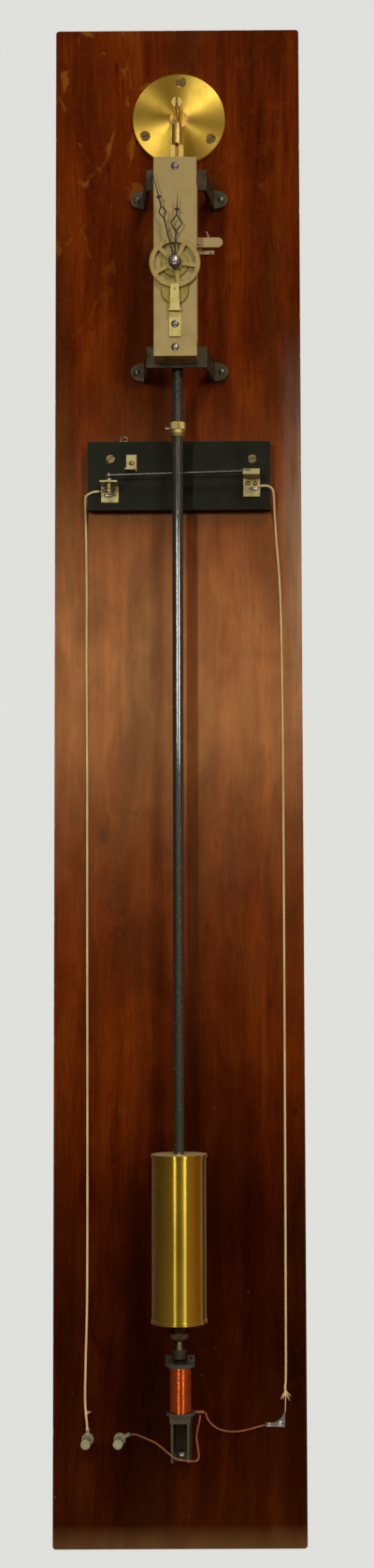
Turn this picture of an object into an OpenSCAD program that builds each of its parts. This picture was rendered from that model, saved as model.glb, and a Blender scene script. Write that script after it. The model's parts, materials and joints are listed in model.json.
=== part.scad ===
// Electric impulse clock: a seconds pendulum driven by an electromagnet, with its movement, on a wall board.
// Millimetres. X runs to the right, Y into the wall and Z up, from the centre of the board's back face.
// A depth is a distance in front of the board's face. A height is measured from the board's centre.

/* [Board] */
// Width of the back board
board_w = 225; // [210:1:260]
// Height of the back board
board_h = 1380; // [1350:5:1500]
// Thickness of the back board
board_t = 22; // [18:1:30]
// Radius of the board's corners
board_r = 3; // [1:0.5:8]
// Centre line of the clock, to the right of the board's own
centre_x = 1.5; // [-5:0.5:5]

/* [Suspension] */
// Height of the suspension stud, where the pendulum turns
stud_z = 604; // [600:1:608]
// Diameter of the turned disc
disc_d = 85; // [80:1:90]
// Thickness of the turned disc
disc_t = 4; // [3:0.5:6]
// Radius of the circle of the disc's screws
disc_screw_ring = 35; // [30:0.5:37]
// Turn of the first screw of the disc
disc_screw_turn = 87; // [70:1:110]
// Diameter of the stud
stud_d = 9.5; // [8:0.5:12]
// Depth of the stud's tip
stud_reach = 46; // [45.5:0.5:52]
// Diameter of the stud's flange
stud_flange_d = 17; // [14:0.5:22]
// Thickness of the stud's flange
stud_flange_t = 1.2; // [0.8:0.2:3]
// Width of the slot in the stud
stud_slot_w = 2.4; // [1.6:0.2:3]
// Length of the slot in the stud
stud_slot_l = 35; // [13:0.5:38]
// Thickness of the suspension spring
spring_t = 0.4; // [0.3:0.1:0.6]
// Width of the suspension spring
spring_w = 8; // [6:0.5:9]
// Free length of the spring, from the stud's centre to the pendulum head
spring_free = 19; // [16:0.5:21]

/* [Pendulum] */
// Depth of the pendulum's centre line
rod_depth = 40; // [40:0.5:40.5]
// Diameter of the rod
rod_d = 10; // [8:0.5:10.5]
// From the suspension to the underside of the bob, which stands on its nut
bob_drop = 1090.75; // [1088.75:0.25:1092.75]
// Diameter of the pendulum head
head_d = 9.2; // [8:0.2:10]
// Diameter of the boss on top of the head
head_boss_d = 8.5; // [6:0.5:9]
// Length of the boss on top of the head
head_boss_l = 3.5; // [3:0.5:4]
// Length of the round part of the head
head_l = 17; // [14:0.5:18]
// Width of the head's fork
fork_w = 11.5; // [11:0.5:13]
// Depth of the head's fork, front to back
fork_t = 9; // [8:0.5:10]
// Length of the head's fork
fork_l = 19; // [18:0.5:20]
// Width of the slot between the fork's legs
fork_slot_w = 3.4; // [2.4:0.2:4]
// Length of the slot between the fork's legs
fork_slot_l = 11; // [9:0.5:11]
// Diameter of the cross pins
pin_d = 2; // [1.6:0.1:2.2]
// Diameter of the bob
bob_d = 47; // [44:0.5:50]
// Diameter of the bob's rims
bob_rim_d = 48.7; // [47.5:0.1:52]
// Height of the bob
bob_h = 145.5; // [140:0.5:146]
// Thickness of the bob's caps
bob_cap_t = 3; // [2:0.5:5]
// Wall of the bob's tube
bob_wall = 2; // [1.5:0.5:4]
// Diameter of the rating screw below the bob
rating_screw_d = 6; // [5:0.5:7]
// Size of the bob's nut across its flats
bob_nut_w = 10.3; // [9:0.1:14]
// Height of the bob's nut
bob_nut_h = 9.1; // [6:0.1:9.4]
// Diameter of the rating nut
rating_nut_d = 15.7; // [13:0.1:18]
// Height of the rating nut
rating_nut_h = 4.6; // [3:0.2:5]
// Diameter of the armature's rim
armature_d = 12.8; // [11.6:0.2:14]
// Height of the armature, with its rim
armature_h = 8.3; // [7:0.1:8.5]
// Height of the armature's rim
armature_rim_h = 3.2; // [2:0.1:4]
// Bare length of the rating screw between the rating nut and the ferrule
nut_clear = 2.6; // [2.4:0.1:3]
// Height of the brass ferrule above the armature
ferrule_h = 6.2; // [5:0.2:6.4]
// Diameter of the ferrule's base
ferrule_d = 10.3; // [9:0.1:12]

/* [Collar and toggle] */
// Height of the collar's centre
collar_z = 303; // [302:0.5:304]
// Diameter of the collar
collar_d = 14.6; // [13:0.2:17]
// Height of the knurled ring of the collar
collar_h = 6.4; // [5:0.2:7]
// Number of knurls round the collar
collar_knurls = 36; // [24:2:48]
// Height of the plain ring and the cone under the knurled ring
collar_cone_h = 6.2; // [5.4:0.2:7]
// Length of the collar's set screw outside the collar
collar_screw_l = 3.4; // [2:0.2:5]
// Width of the arm that carries the toggle
toggle_arm_w = 7; // [6:0.5:8]
// Depth of the toggle's middle plane, and of the contact strip
toggle_depth = 26; // [25.5:0.5:26.5]
// Thickness of the toggle vane
vane_t = 2; // [1.4:0.2:2.6]
// Length of the toggle vane, from its pin to its tip
vane_l = 29; // [26:0.2:29.4]

/* [Iron brackets] */
// Height of the upper bracket
upper_bracket_z = 528; // [526:0.5:530]
// Height of the lower bracket
lower_bracket_z = 366; // [365:0.5:370]
// Width of the brackets' straps
strap_w = 54; // [48:0.5:55]
// Height of the brackets' straps
strap_h = 19; // [17:0.5:20]
// Thickness of the brackets' straps
strap_t = 3; // [2:0.5:3.5]
// Depth of the straps' front face
strap_depth = 54.5; // [53:0.5:56]
// How far each leg of a bracket leans outwards
leg_splay = 6; // [2:0.5:6.5]
// Distance between the screws of a bracket's feet
foot_spacing = 78; // [76:0.5:84]
// Diameter of the brackets' round feet
foot_d = 16; // [14:0.5:18]
// How far the middle of that rounded end lies inside the screw
foot_inset = 2.3; // [1:0.1:3]

/* [Movement] */
// Width of the movement's plates
plate_w = 38; // [37:0.5:42]
// Height of the movement's plates
plate_h = 180; // [180:0.5:184]
// Height of the middle of the plates
plate_z = 450; // [450:0.5:450.5]
// Thickness of the movement's plates
plate_t = 2; // [1.6:0.2:2.4]
// Distance between the plates
plate_gap = 22; // [22:0.5:24]
// Height of the spacer blocks between the plates
spacer_h = 16; // [14:0.5:17]
// Width of the recess in a spacer block
recess_w = 19; // [16:0.5:20]
// Depth of the recess, front to back
recess_t = 16; // [12:0.5:17]
// Height of the centre arbor, where the hands turn
arbor_z = 443; // [442.5:0.5:443.5]
// Diameter of the centre arbor
arbor_d = 3; // [2.6:0.2:3.4]
// Diameter of the other arbors
pivot_d = 2; // [1.6:0.1:2.1]
// Tooth size of the going train, pitch diameter per tooth
train_module = 0.5; // [0.49:0.005:0.505]
// Distance between the centre arbor and the minute wheel's arbor
motion_centres = 24.5; // [24:0.1:25]
// Diameter of the count wheel with its thirty ratchet teeth
count_d = 31; // [29:0.5:31]
// Thickness of the wheels
wheel_t = 1.4; // [1:0.1:1.6]
// Radius of the hour wheel's pipe
hour_pipe_r = 4.2; // [3.8:0.1:4.5]
// Radius of the cannon wheel's pipe
cannon_pipe_r = 2.5; // [2.3:0.1:2.8]
// Length of the minute hand
minute_hand_l = 83.3; // [76:0.5:84]
// Turn of the minute hand from upright, to the left
minute_turn = 13.6; // [0:0.2:20]
// Length of the hour hand
hour_hand_l = 61.3; // [56:0.5:64]
// Turn of the hour hand from upright, to the right
hour_turn = 2.6; // [0:0.2:10]
// Thickness of the hands
hand_t = 0.8; // [0.6:0.1:1]
// Radius of the hand nut
hand_nut_r = 4.2; // [3.6:0.1:5]
// Width of the cock over the minute wheel
cock_w = 10.6; // [9:0.2:12]
// Radius of the domed screw heads
dome_r = 3.6; // [3:0.1:4.2]

/* [Pawl and click] */
// Height of the pawl's pivot
pawl_z = 503; // [502:0.5:503]
// Length of the click lever right of its pivot
lever_l = 21.6; // [18:0.5:26]
// Height of the click lever
lever_h = 9; // [8:0.5:9.5]

/* [Switch] */
// Width of the switch board
switch_w = 166; // [160:1:172]
// Height of the switch board
switch_h = 63; // [60:0.5:66]
// Thickness of the switch board
switch_t = 13; // [11:0.5:13.5]
// Height of the middle of the switch board
switch_z = 267.7; // [267:0.1:268.4]
// Sheet thickness of the brass angles
angle_t = 1.6; // [1.2:0.1:2]
// Depth that the angles' shelves stand out of the switch board
shelf_reach = 20; // [18.5:0.5:22]
// Width of the contact post
post_w = 15.8; // [14.6:0.2:17]
// Height of the contact post's plate
post_h = 16.8; // [15:0.2:18]
// Contact post, left of the clock's centre line
post_x = 62.8; // [61:0.2:64]
// Strip block, right of the clock's centre line
block_x = 65.9; // [65:0.1:67]
// Width of the strip block
block_w = 15.2; // [14:0.2:16]
// Height of the strip block's thick flange
block_flange_h = 5; // [4.4:0.1:6]
// Height where the contact strip leaves its block
strip_z = 268.2; // [268:0.1:268.4]
// Fall of the contact strip towards its free end, in degrees
strip_fall = 1.5; // [1.4:0.1:1.6]
// Thickness of the contact strip
strip_t = 0.5; // [0.4:0.1:0.6]
// Width of the contact strip
strip_w = 6; // [5:0.5:7]
// Open gap between the contact rivet and the contact screw
contact_gap = 0.7; // [0.66:0.02:1]
// Back stop, left of the clock's centre line
stop_x = 43.2; // [42:0.2:45]
// Width of the back stop
stop_w = 9.3; // [8:0.1:11]
// Height of the back stop
stop_h = 17.3; // [15:0.1:18]

/* [Magnet] */
// Centre of the magnet, right of the board's centre line
magnet_x = 2.5; // [1.5:0.1:3]
// Air gap between the armature and the core
pole_gap = 1.6; // [1.2:0.1:2.2]
// Diameter of the iron core
core_d = 10; // [8:0.5:10.5]
// Diameter of the bobbin's cheeks
cheek_d = 24.8; // [24:0.2:27]
// Thickness of the bobbin's cheeks
cheek_t = 2.8; // [2.4:0.1:3.2]
// Length of the winding
winding_l = 38.8; // [38:0.2:40]
// Diameter over the winding's outer layer
winding_d = 21.9; // [20:0.1:23]
// Diameter of the outer layer's wire, drawn thick
turn_d = 1.1; // [0.9:0.05:1.12]
// Turns in the winding's outer layer
turns = 24; // [16:1:24]
// Width of the bracket's yoke
yoke_w = 18; // [16.5:0.5:20]
// Width of the channel under the yoke
channel_w = 16; // [14:0.5:16.5]
// Thickness of the yoke
yoke_t = 5.7; // [5:0.1:7]
// Depth of the yoke's front edge
yoke_reach = 50; // [48:0.5:54]
// Height of the channel under the yoke
channel_h = 42; // [38:0.5:46]
// Sheet thickness of the channel
channel_t = 2; // [1.4:0.1:2.4]

/* [Terminals] */
// Height of the two terminals
terminal_z = -594; // [-595:0.5:-593]
// Left terminal, left of the board's centre line
terminal_left = 81.5; // [80.5:0.1:82.5]
// Right terminal, left of the board's centre line
terminal_right = 53.2; // [52.6:0.1:54]
// Diameter of the terminals' base
terminal_base_d = 10.4; // [9.6:0.2:12]
// Diameter of the terminals' nuts
terminal_nut_d = 8.4; // [7.6:0.1:9.4]
// Depth of the terminals' ends
terminal_reach = 25; // [22:0.5:30]
// Diameter of the cream wires
wire_d = 2; // [1.6:0.1:2.1]
// Diameter of the brown leads
lead_d = 1.5; // [1.2:0.1:1.6]

/* [Fits] */
// Radial gap of running fits
run = 0.04; // [0.03:0.01:0.08]
// Radial gap of fixed fits
snug = 0.02; // [0.01:0.01:0.05]

/* [Hidden] */
$fn = 48;
face = -board_t;
head_top = stud_z - spring_free;
head_shoulder = head_top - head_boss_l;
fork_top = head_shoulder - head_l;
rod_top = fork_top - fork_l;
kerf_l = 6;
rod_bore_d = 6;
rod_bore_l = 6.5;
bob_bottom = stud_z - bob_drop;
bob_top = bob_bottom + bob_h;
rod_end = bob_bottom + bob_cap_t + 2;
nut_gap = 0.05;
ferrule_top = bob_bottom - bob_nut_h - nut_gap - rating_nut_h - nut_clear;
// The armature's lower face, where the pole waits under it
pole_z = ferrule_top - ferrule_h - armature_h;
back_face = strap_depth;
back_front = back_face + plate_t;
front_back = back_front + plate_gap;
front_face = front_back + plate_t;
plate_top = plate_z + plate_h / 2;
plate_bottom = plate_z - plate_h / 2;
spacer_top_z = plate_top - spacer_h / 2;
spacer_bottom_z = plate_bottom + spacer_h / 2;
// Teeth of the going train and the motion work
centre_teeth = 64;
inter_teeth = 60;
pinion_teeth = 8;
count_teeth = 30;
cannon_teeth = 48;
minute_teeth = 48;
hour_teeth = 96;
inter_z = arbor_z + train_module * (centre_teeth + pinion_teeth) / 2;
count_z = inter_z + train_module * (inter_teeth + pinion_teeth) / 2;
minute_z = arbor_z - motion_centres;
cannon_module = 2 * motion_centres / (cannon_teeth + minute_teeth);
hour_module = 2 * motion_centres / (hour_teeth + pinion_teeth);
hour_rim = 18.3;
spokes = 5;
spoke_w = 3.6;
// Depths of the wheels, from the back plate forwards
count_depth = back_front + 3.1;
inter_depth = back_front + 9;
centre_depth = back_front + 15;
cannon_depth = front_face + 0.5;
hour_depth = front_face + 2.9;
hour_hand_depth = front_face + 7.5;
minute_hand_depth = front_face + 10;
cock_step = 5.2;
cock_t = 1.6;
cock_wheel_gap = 6.64;
cock_screw_gap = 9.2;
cock_screw_up = 0.2;
eye_step = 0.1;
bracket_screw_x = 14;
pinion_l = 2.7;
// Switch
switch_front = switch_t;
shelf_z = 259.5;
block_left = centre_x + block_x - block_w / 2;
block_top = 269.3;
contact_x = centre_x - post_x;
strip_run = block_left - contact_x;
contact_tip = strip_z - strip_run * tan(strip_fall);
strip_end = strip_run / cos(strip_fall) + 2.2;
strip_tail = 6;
rivet_d = 1.9;
rivet_up = 2.2;
rivet_down = 0.6;
toggle_pin_z = collar_z - 3;
collar_screw_z = collar_z + 1.6;
arm_back = toggle_depth - 4.5;
fix_head_d = 4.6;
fix_screw_d = 2;
// Magnet
cheek_top = pole_z - pole_gap - 2.2;
winding_top = cheek_top - cheek_t;
winding_bottom = winding_top - winding_l;
yoke_top = winding_bottom - cheek_t;
yoke_bottom = yoke_top - yoke_t;
channel_bottom = yoke_bottom - channel_h;
flange_bottom = channel_bottom + 9;
ear_depth = rod_depth - 12;
wood_screw_d = 3.4;
wood_screw_l = 14;
sunk_screw_l = 20;
round_head_d = 6.4;
round_head_h = 2.4;
sunk_head_d = 8;
sunk_ring_d = 9.8;
sunk_h = 3.2;

// Screws of the switch and the magnet, from the middle or the edge of what they hold
switch_screw_left = 62.4;
switch_screw_right = 66.6;
switch_screw_up = 16;
post_screw_x = 4.7;
post_screw_down = 5.6;
block_screw_x = 3.4;
block_screw_down = 9.5;
stop_screw_up = 11.2;
magnet_screw_down = 34.8;

// Places of the screws, as [x, height]
disc_holes = [for (i = [0:2]) let (a = disc_screw_turn + 120 * i)
    [centre_x + disc_screw_ring * cos(a), stud_z + disc_screw_ring * sin(a)]];
switch_holes = [[centre_x - switch_screw_left, switch_z + switch_screw_up],
    [centre_x + switch_screw_right, switch_z + switch_screw_up - 0.6]];
foot_holes = [for (z = [upper_bracket_z, lower_bracket_z]) for (s = [-1, 1])
    [centre_x + s * foot_spacing / 2, z]];
magnet_holes = [[magnet_x - 0.8, yoke_bottom - magnet_screw_down]];
post_holes = [for (s = [-1, 1]) [contact_x + s * post_screw_x, shelf_z - post_screw_down]];
block_holes = [for (s = [-1, 1]) [centre_x + block_x + s * block_screw_x, block_top - block_screw_down]];
stop_hole = [[centre_x - stop_x, switch_z + stop_screw_up]];
terminals = [[-terminal_left, terminal_z], [-terminal_right, terminal_z]];

// Routes of the free wires, as [x, depth, height]
left_wire_route = [
    [-62, 15.9, 248.5], [-66, 16.3, 251.5], [-72, 16.2, 252.5], [-78, 15.6, 251.5], [-83, 13.6, 248.5],
    [-84, 10, 243], [-84.2, 6, 236], [-84.2, 2.6, 227], [-84, 1.3, 212], [-83.5, 1.2, 160],
    [-83.5, 1.2, 100], [-82.8, 1.2, 0], [-82.6, 1.2, -150], [-82.2, 1.2, -300], [-82.2, 1.2, -460],
    [-83.4, 1.2, -525], [-83.9, 1.3, -555], [-83.3, 2, -570], [-82, 4.1, -580], [-81.7, 4.6, -586]];
right_wire_route = [
    [67.5, 16.1, 254], [72, 16.4, 256], [78, 16.2, 257], [83, 15.4, 256.5], [86.6, 13.4, 253.5],
    [87.4, 10, 247], [87.8, 6, 239], [88.3, 2.6, 229], [89.3, 1.3, 212], [92.8, 1.2, 156],
    [94.2, 1.2, 60], [94.5, 1.2, -65], [94.5, 1.2, -250], [94.3, 1.2, -400], [94, 1.2, -530],
    [93.3, 1.2, -549], [93.6, 1.3, -560], [93.2, 2.4, -571]];
right_lead_route = [
    [24.2, 34, -565], [24.6, 33.8, -567.4], [25.6, 33.2, -570.2], [27.4, 32, -573.2], [29.8, 30.4, -576.2],
    [33, 28.4, -579], [37, 26, -581.3], [41.4, 23.2, -583], [46.2, 20, -584.2], [51.2, 16.6, -584.8],
    [56.4, 13, -584.8], [61.6, 9.4, -584.4], [66.6, 6.2, -583.8], [71.2, 4, -583], [75.4, 3, -582.2]];
left_lead_route = [
    [19.2, 34, -567.2], [18.6, 35.5, -572], [17, 39, -579], [16.4, 43, -585], [17.8, 48, -592],
    [18.7, 52.6, -598], [17.6, 55, -600.8], [14, 56, -601.6], [8.8, 56.2, -601.2], [2, 56, -600.2],
    [-3.5, 54.4, -598.2], [-11, 45, -594.4], [-19, 35, -590.8], [-25.5, 28, -589.4],
    [-36, 15, -588.2], [-42, 7.6, -588.8], [-44.5, 5, -590.6]];

// Draws its children facing the viewer at [x, height], starting at a depth: their Z comes forward
module at(x, z, depth) {
    translate([x, face - depth, z]) rotate([90, 0, 0]) children();
}

module at_each(places, depth) {
    for (p = places) at(p[0], p[1], depth) children();
}

// A bar between two x, two depths and two heights
module bar(x0, x1, d0, d1, z0, z1) {
    translate([x0, face - d1, z0]) cube([x1 - x0, d1 - d0, z1 - z0]);
}

// A plate with rounded corners, centred, facing the viewer
module round_plate(w, h, t, r) {
    linear_extrude(t) difference() {
        square([w, h], center = true);
        for (sx = [-1, 1]) for (sy = [-1, 1])
            translate([sx * (w / 2 - r), sy * (h / 2 - r)]) difference() {
                translate([sx > 0 ? 0 : -r - 1, sy > 0 ? 0 : -r - 1]) square(r + 1);
                circle(r);
            }
    }
}

module dome(r, h) {
    ball = (r * r + h * h) / (2 * h);
    intersection() {
        translate([0, 0, h - ball]) sphere(ball);
        translate([-r - 1, -r - 1, 0]) cube([2 * r + 2, 2 * r + 2, h + 1]);
    }
}

module slot(w, l, deep, top) {
    translate([-l / 2, -w / 2, top - deep]) cube([l, w, deep + 1]);
}

// A round-head wood screw whose head rests at zero
module round_screw(turn) {
    rotate(turn) difference() {
        union() {
            dome(round_head_d / 2, round_head_h);
            translate([0, 0, -wood_screw_l]) cylinder(d = wood_screw_d, h = wood_screw_l);
        }
        slot(0.9, round_head_d + 2, 1.1, round_head_h);
    }
}

// A countersunk wood screw whose head lies just under zero
module sunk_screw(turn) {
    sink = (sunk_ring_d - sunk_head_d) / 2;
    rotate(turn) difference() {
        union() {
            translate([0, 0, -sink - sunk_h + 1])
                cylinder(d1 = wood_screw_d, d2 = sunk_head_d, h = sunk_h - 1);
            translate([0, 0, -sunk_screw_l]) cylinder(d = wood_screw_d, h = sunk_screw_l - sink - sunk_h + 1);
        }
        slot(1, sunk_head_d + 2, 1, -sink);
    }
}

// The hole of a countersunk screw, with its mouth at zero
module sunk_hole() {
    translate([0, 0, -sunk_h]) cylinder(d1 = sunk_ring_d - 2 * sunk_h, d2 = sunk_ring_d + 0.02, h = sunk_h + 0.01);
    translate([0, 0, -sunk_screw_l - 1]) cylinder(r = wood_screw_d / 2 + snug, h = sunk_screw_l + 1);
}

// Tooth corners of a wheel with a tooth at the angle start
function teeth(n, m, start, add, ded, root_fill, tip_fill) =
    [for (i = [0:n - 1]) for (p = [[-root_fill, -ded], [-tip_fill, add], [tip_fill, add], [root_fill, -ded]])
        let (a = start + (i + p[0]) * 360 / n, r = m * (n / 2 + p[1])) [r * cos(a), r * sin(a)]];

module wheel_outline(n, m, start) {
    polygon(teeth(n, m, start, 0.8, 1.15, 0.28, 0.1));
}

module pinion_outline(m, start) {
    polygon(teeth(pinion_teeth, m, start, 0.5, 1.2, 0.2, 0.09));
}

// The openings between a wheel's spokes
module crossings(count, rim_r, hub_r, width, start) {
    difference() {
        circle(rim_r);
        circle(hub_r);
        for (i = [0:count - 1]) rotate(start + 360 / count * i)
            translate([0, -width / 2]) square([rim_r + 1, width]);
    }
}

// Board

module backboard() {
    color([0.26, 0.09, 0.04]) difference() {
        at(0, 0, -board_t) round_plate(board_w, board_h, board_t, board_r);
        at_each(disc_holes, disc_t) sunk_hole();
        at_each(switch_holes, switch_t) sunk_hole();
        at_each(concat(foot_holes, magnet_holes), 0)
            translate([0, 0, -wood_screw_l - 1]) cylinder(r = wood_screw_d / 2 + snug, h = wood_screw_l + 2);
        at_each(terminals, -8.5) cylinder(r = 2 + snug, h = 10);
        at(centre_x, stud_z, -10.5) cylinder(r = 3 + snug, h = 12);
    }
}

module countersunk_screws() {
    color([0.62, 0.55, 0.42]) {
        for (i = [0:2]) at(disc_holes[i][0], disc_holes[i][1], disc_t) sunk_screw([70, 20, 45][i]);
        for (i = [0:1]) at(switch_holes[i][0], switch_holes[i][1], switch_t) sunk_screw([40, 5][i]);
    }
}

module round_head_screws() {
    color([0.45, 0.42, 0.36]) {
        for (i = [0:3]) at(foot_holes[i][0], foot_holes[i][1], strap_t) round_screw(25 + 40 * i);
        at_each(magnet_holes, channel_t) round_screw(15);
    }
}

// Suspension

module suspension_disc() {
    color([0.72, 0.58, 0.26]) difference() {
        at(centre_x, stud_z, 0) cylinder(d = disc_d, h = disc_t, $fn = 96);
        at_each(disc_holes, disc_t) sunk_hole();
        at(centre_x, stud_z, -1) cylinder(r = 3 + snug, h = disc_t + 2);
    }
}

module suspension_stud() {
    color([0.8, 0.66, 0.34]) difference() {
        union() {
            at(centre_x, stud_z, -10) cylinder(r = 3, h = disc_t + 10);
            at(centre_x, stud_z, disc_t) cylinder(d = stud_flange_d, h = stud_flange_t);
            at(centre_x, stud_z, disc_t) cylinder(d = stud_d, h = stud_reach - disc_t);
        }
        bar(centre_x - stud_slot_w / 2, centre_x + stud_slot_w / 2, stud_reach - stud_slot_l, stud_reach + 1,
            stud_z - stud_d, stud_z + stud_d);
        translate([centre_x - stud_d, face - rod_depth, stud_z]) rotate([0, 90, 0])
            cylinder(r = pin_d / 2 + snug, h = 2 * stud_d, $fn = 24);
    }
}

module suspension_pin() {
    color([0.55, 0.55, 0.55]) translate([centre_x - stud_d / 2, face - rod_depth, stud_z]) rotate([0, 90, 0])
        cylinder(d = pin_d, h = stud_d, $fn = 24);
}

module suspension_spring() {
    color([0.3, 0.34, 0.42]) difference() {
        bar(centre_x - spring_t / 2, centre_x + spring_t / 2, rod_depth - spring_w / 2,
            rod_depth + spring_w / 2, head_top - kerf_l + 0.2, stud_z + 3);
        for (p = [[stud_z, run], [head_top - 3, snug]])
            translate([centre_x - 2, face - rod_depth, p[0]]) rotate([0, 90, 0])
                cylinder(r = pin_d / 2 + p[1], h = 4, $fn = 24);
    }
}

// Pendulum

module on_rod(z) {
    translate([centre_x, face - rod_depth, z]) children();
}

module cross_hole(z, l, extra) {
    on_rod(z) translate([-l / 2, 0, 0]) rotate([0, 90, 0]) cylinder(r = pin_d / 2 + extra, h = l, $fn = 24);
}

module pendulum_head() {
    color([0.75, 0.62, 0.35]) difference() {
        union() {
            on_rod(head_shoulder) cylinder(d = head_boss_d, h = head_boss_l);
            on_rod(fork_top) cylinder(d = head_d, h = head_l);
            bar(centre_x - fork_w / 2, centre_x + fork_w / 2, rod_depth - fork_t / 2, rod_depth + fork_t / 2,
                rod_top, fork_top);
        }
        bar(centre_x - spring_t / 2 - snug, centre_x + spring_t / 2 + snug, rod_depth - head_d,
            rod_depth + head_d, head_top - kerf_l, head_top + 1);
        bar(centre_x - fork_slot_w / 2, centre_x + fork_slot_w / 2, rod_depth - fork_t, rod_depth + fork_t,
            fork_top - fork_slot_l, fork_top + 2);
        on_rod(rod_top - 1) cylinder(r = rod_bore_d / 2 + snug, h = rod_bore_l + 1);
        cross_hole(head_top - 3, 12, snug);
    }
}

module pendulum_rod() {
    color([0.06, 0.06, 0.07]) difference() {
        union() {
            on_rod(rod_top) cylinder(d = rod_bore_d, h = rod_bore_l - 0.5);
            on_rod(rod_end) cylinder(d = rod_d, h = rod_top - rod_end);
            on_rod(ferrule_top - ferrule_h + 1.6) cylinder(d = rating_screw_d, h = rod_end - ferrule_top + ferrule_h - 1.4);
        }
        on_rod(collar_screw_z) rotate([0, -90, 0]) cylinder(r = 1 + snug, h = rod_d, $fn = 24);
    }
}

// The pin of the head lies across, those of the pawl and the toggle point forwards
module pendulum_pins() {
    color([0.6, 0.6, 0.6]) {
        cross_hole(head_top - 3, head_boss_d, 0);
        at(centre_x, pawl_z, count_depth - 1.4) cylinder(d = pin_d, h = wheel_t + 2.8, $fn = 24);
        at(centre_x, toggle_pin_z, arm_back + 0.5) cylinder(d = pin_d, h = 8, $fn = 24);
    }
}

module knurled_ring(d, h, n) {
    linear_extrude(h) polygon([for (i = [0:2 * n - 1]) let (r = d / 2 - (i % 2) * 0.35)
        [r * cos(180 * i / n), r * sin(180 * i / n)]]);
}

module rod_collar() {
    color([0.78, 0.7, 0.45]) difference() {
        union() {
            on_rod(collar_z) knurled_ring(collar_d, collar_h, collar_knurls);
            on_rod(collar_z - 0.9) cylinder(d = collar_d - 2.6, h = 1);
            on_rod(collar_z - 3.4) cylinder(d = collar_d - 0.7, h = 2.6);
            on_rod(collar_z - collar_cone_h) cylinder(d1 = rod_d + 1.2, d2 = collar_d - 1.3, h = collar_cone_h - 3.4);
            bar(centre_x - toggle_arm_w / 2, centre_x + toggle_arm_w / 2, arm_back, rod_depth - rod_d / 2 - 0.5,
                toggle_pin_z - 3.2, collar_z + 3);
        }
        on_rod(collar_z - collar_cone_h - 3) cylinder(r = rod_d / 2 + snug, h = collar_h + collar_cone_h + 6);
        bar(centre_x - toggle_arm_w, centre_x + toggle_arm_w, toggle_depth - vane_t / 2 - 0.3,
            toggle_depth + vane_t / 2 + 0.3, toggle_pin_z - 6, toggle_pin_z + 3.6);
        at(centre_x, toggle_pin_z, arm_back - 1) cylinder(r = pin_d / 2 + snug, h = 10, $fn = 24);
        on_rod(collar_screw_z) rotate([0, -90, 0]) cylinder(r = 1 + snug, h = collar_d, $fn = 24);
    }
}

module collar_screw() {
    color([0.8, 0.76, 0.68]) on_rod(collar_screw_z) rotate([0, -90, 0]) {
        translate([0, 0, rod_d / 2 - 1]) cylinder(r = 1, h = collar_d / 2 - rod_d / 2 + collar_screw_l - 0.4, $fn = 24);
        translate([0, 0, collar_d / 2 + collar_screw_l - 1.6]) cylinder(d = 2.8, h = 1.6, $fn = 24);
    }
}

module toggle_vane() {
    eye_r = 2.8;
    color([0.45, 0.46, 0.5]) at(centre_x, toggle_pin_z, toggle_depth) difference() {
        union() {
            translate([0, 0, -vane_t / 2 - 0.1]) cylinder(r = eye_r, h = vane_t + 0.2);
            translate([0, 0, -vane_t / 2]) linear_extrude(vane_t)
                polygon([[-eye_r + 0.3, -1], [eye_r - 0.3, -1], [1.6, -vane_l], [-1.6, -vane_l]]);
        }
        translate([0, 0, -vane_t]) cylinder(r = pin_d / 2 + run, h = 2 * vane_t, $fn = 24);
    }
}

module bob_tube() {
    inner = bob_d / 2 - bob_wall;
    color([0.66, 0.5, 0.12]) on_rod(bob_bottom + bob_cap_t) difference() {
        cylinder(d = bob_d, h = bob_h - 2 * bob_cap_t, $fn = 96);
        translate([0, 0, -1]) cylinder(r = inner, h = bob_h, $fn = 96);
    }
}

module bob_caps() {
    color([0.72, 0.56, 0.18]) for (z = [bob_bottom, bob_top - bob_cap_t]) on_rod(z) difference() {
        cylinder(d = bob_rim_d, h = bob_cap_t, $fn = 96);
        translate([0, 0, -1]) cylinder(r = rod_d / 2 + run, h = bob_cap_t + 2);
    }
}

module bob_filling() {
    color([0.35, 0.36, 0.38]) on_rod(bob_bottom + bob_cap_t) difference() {
        cylinder(r = bob_d / 2 - bob_wall - snug, h = bob_h - 2 * bob_cap_t, $fn = 96);
        translate([0, 0, -1]) cylinder(r = rod_d / 2 + run + 0.4, h = bob_h);
    }
}

module bob_nut() {
    color([0.1, 0.1, 0.11]) on_rod(bob_bottom - bob_nut_h) rotate(-9) difference() {
        cylinder(d = bob_nut_w / cos(30), h = bob_nut_h, $fn = 6);
        translate([0, 0, -1]) cylinder(r = rating_screw_d / 2 + run, h = bob_nut_h + 2);
    }
}

module rating_nut() {
    color([0.42, 0.33, 0.2]) on_rod(bob_bottom - bob_nut_h - nut_gap - rating_nut_h) difference() {
        union() {
            translate([0, 0, 0.8]) knurled_ring(rating_nut_d, rating_nut_h - 0.8, 40);
            cylinder(d1 = rating_nut_d - 2.4, d2 = rating_nut_d - 0.8, h = 0.8);
        }
        translate([0, 0, -1]) cylinder(r = rating_screw_d / 2 + run, h = rating_nut_h + 4);
    }
}

module armature_ferrule() {
    base = pole_z + armature_h;
    color([0.55, 0.46, 0.26]) on_rod(base) difference() {
        cylinder(d1 = ferrule_d, d2 = rating_screw_d + 1.2, h = ferrule_h);
        translate([0, 0, -1]) cylinder(r = rating_screw_d / 2 + snug, h = ferrule_h + 2);
    }
}

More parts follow.
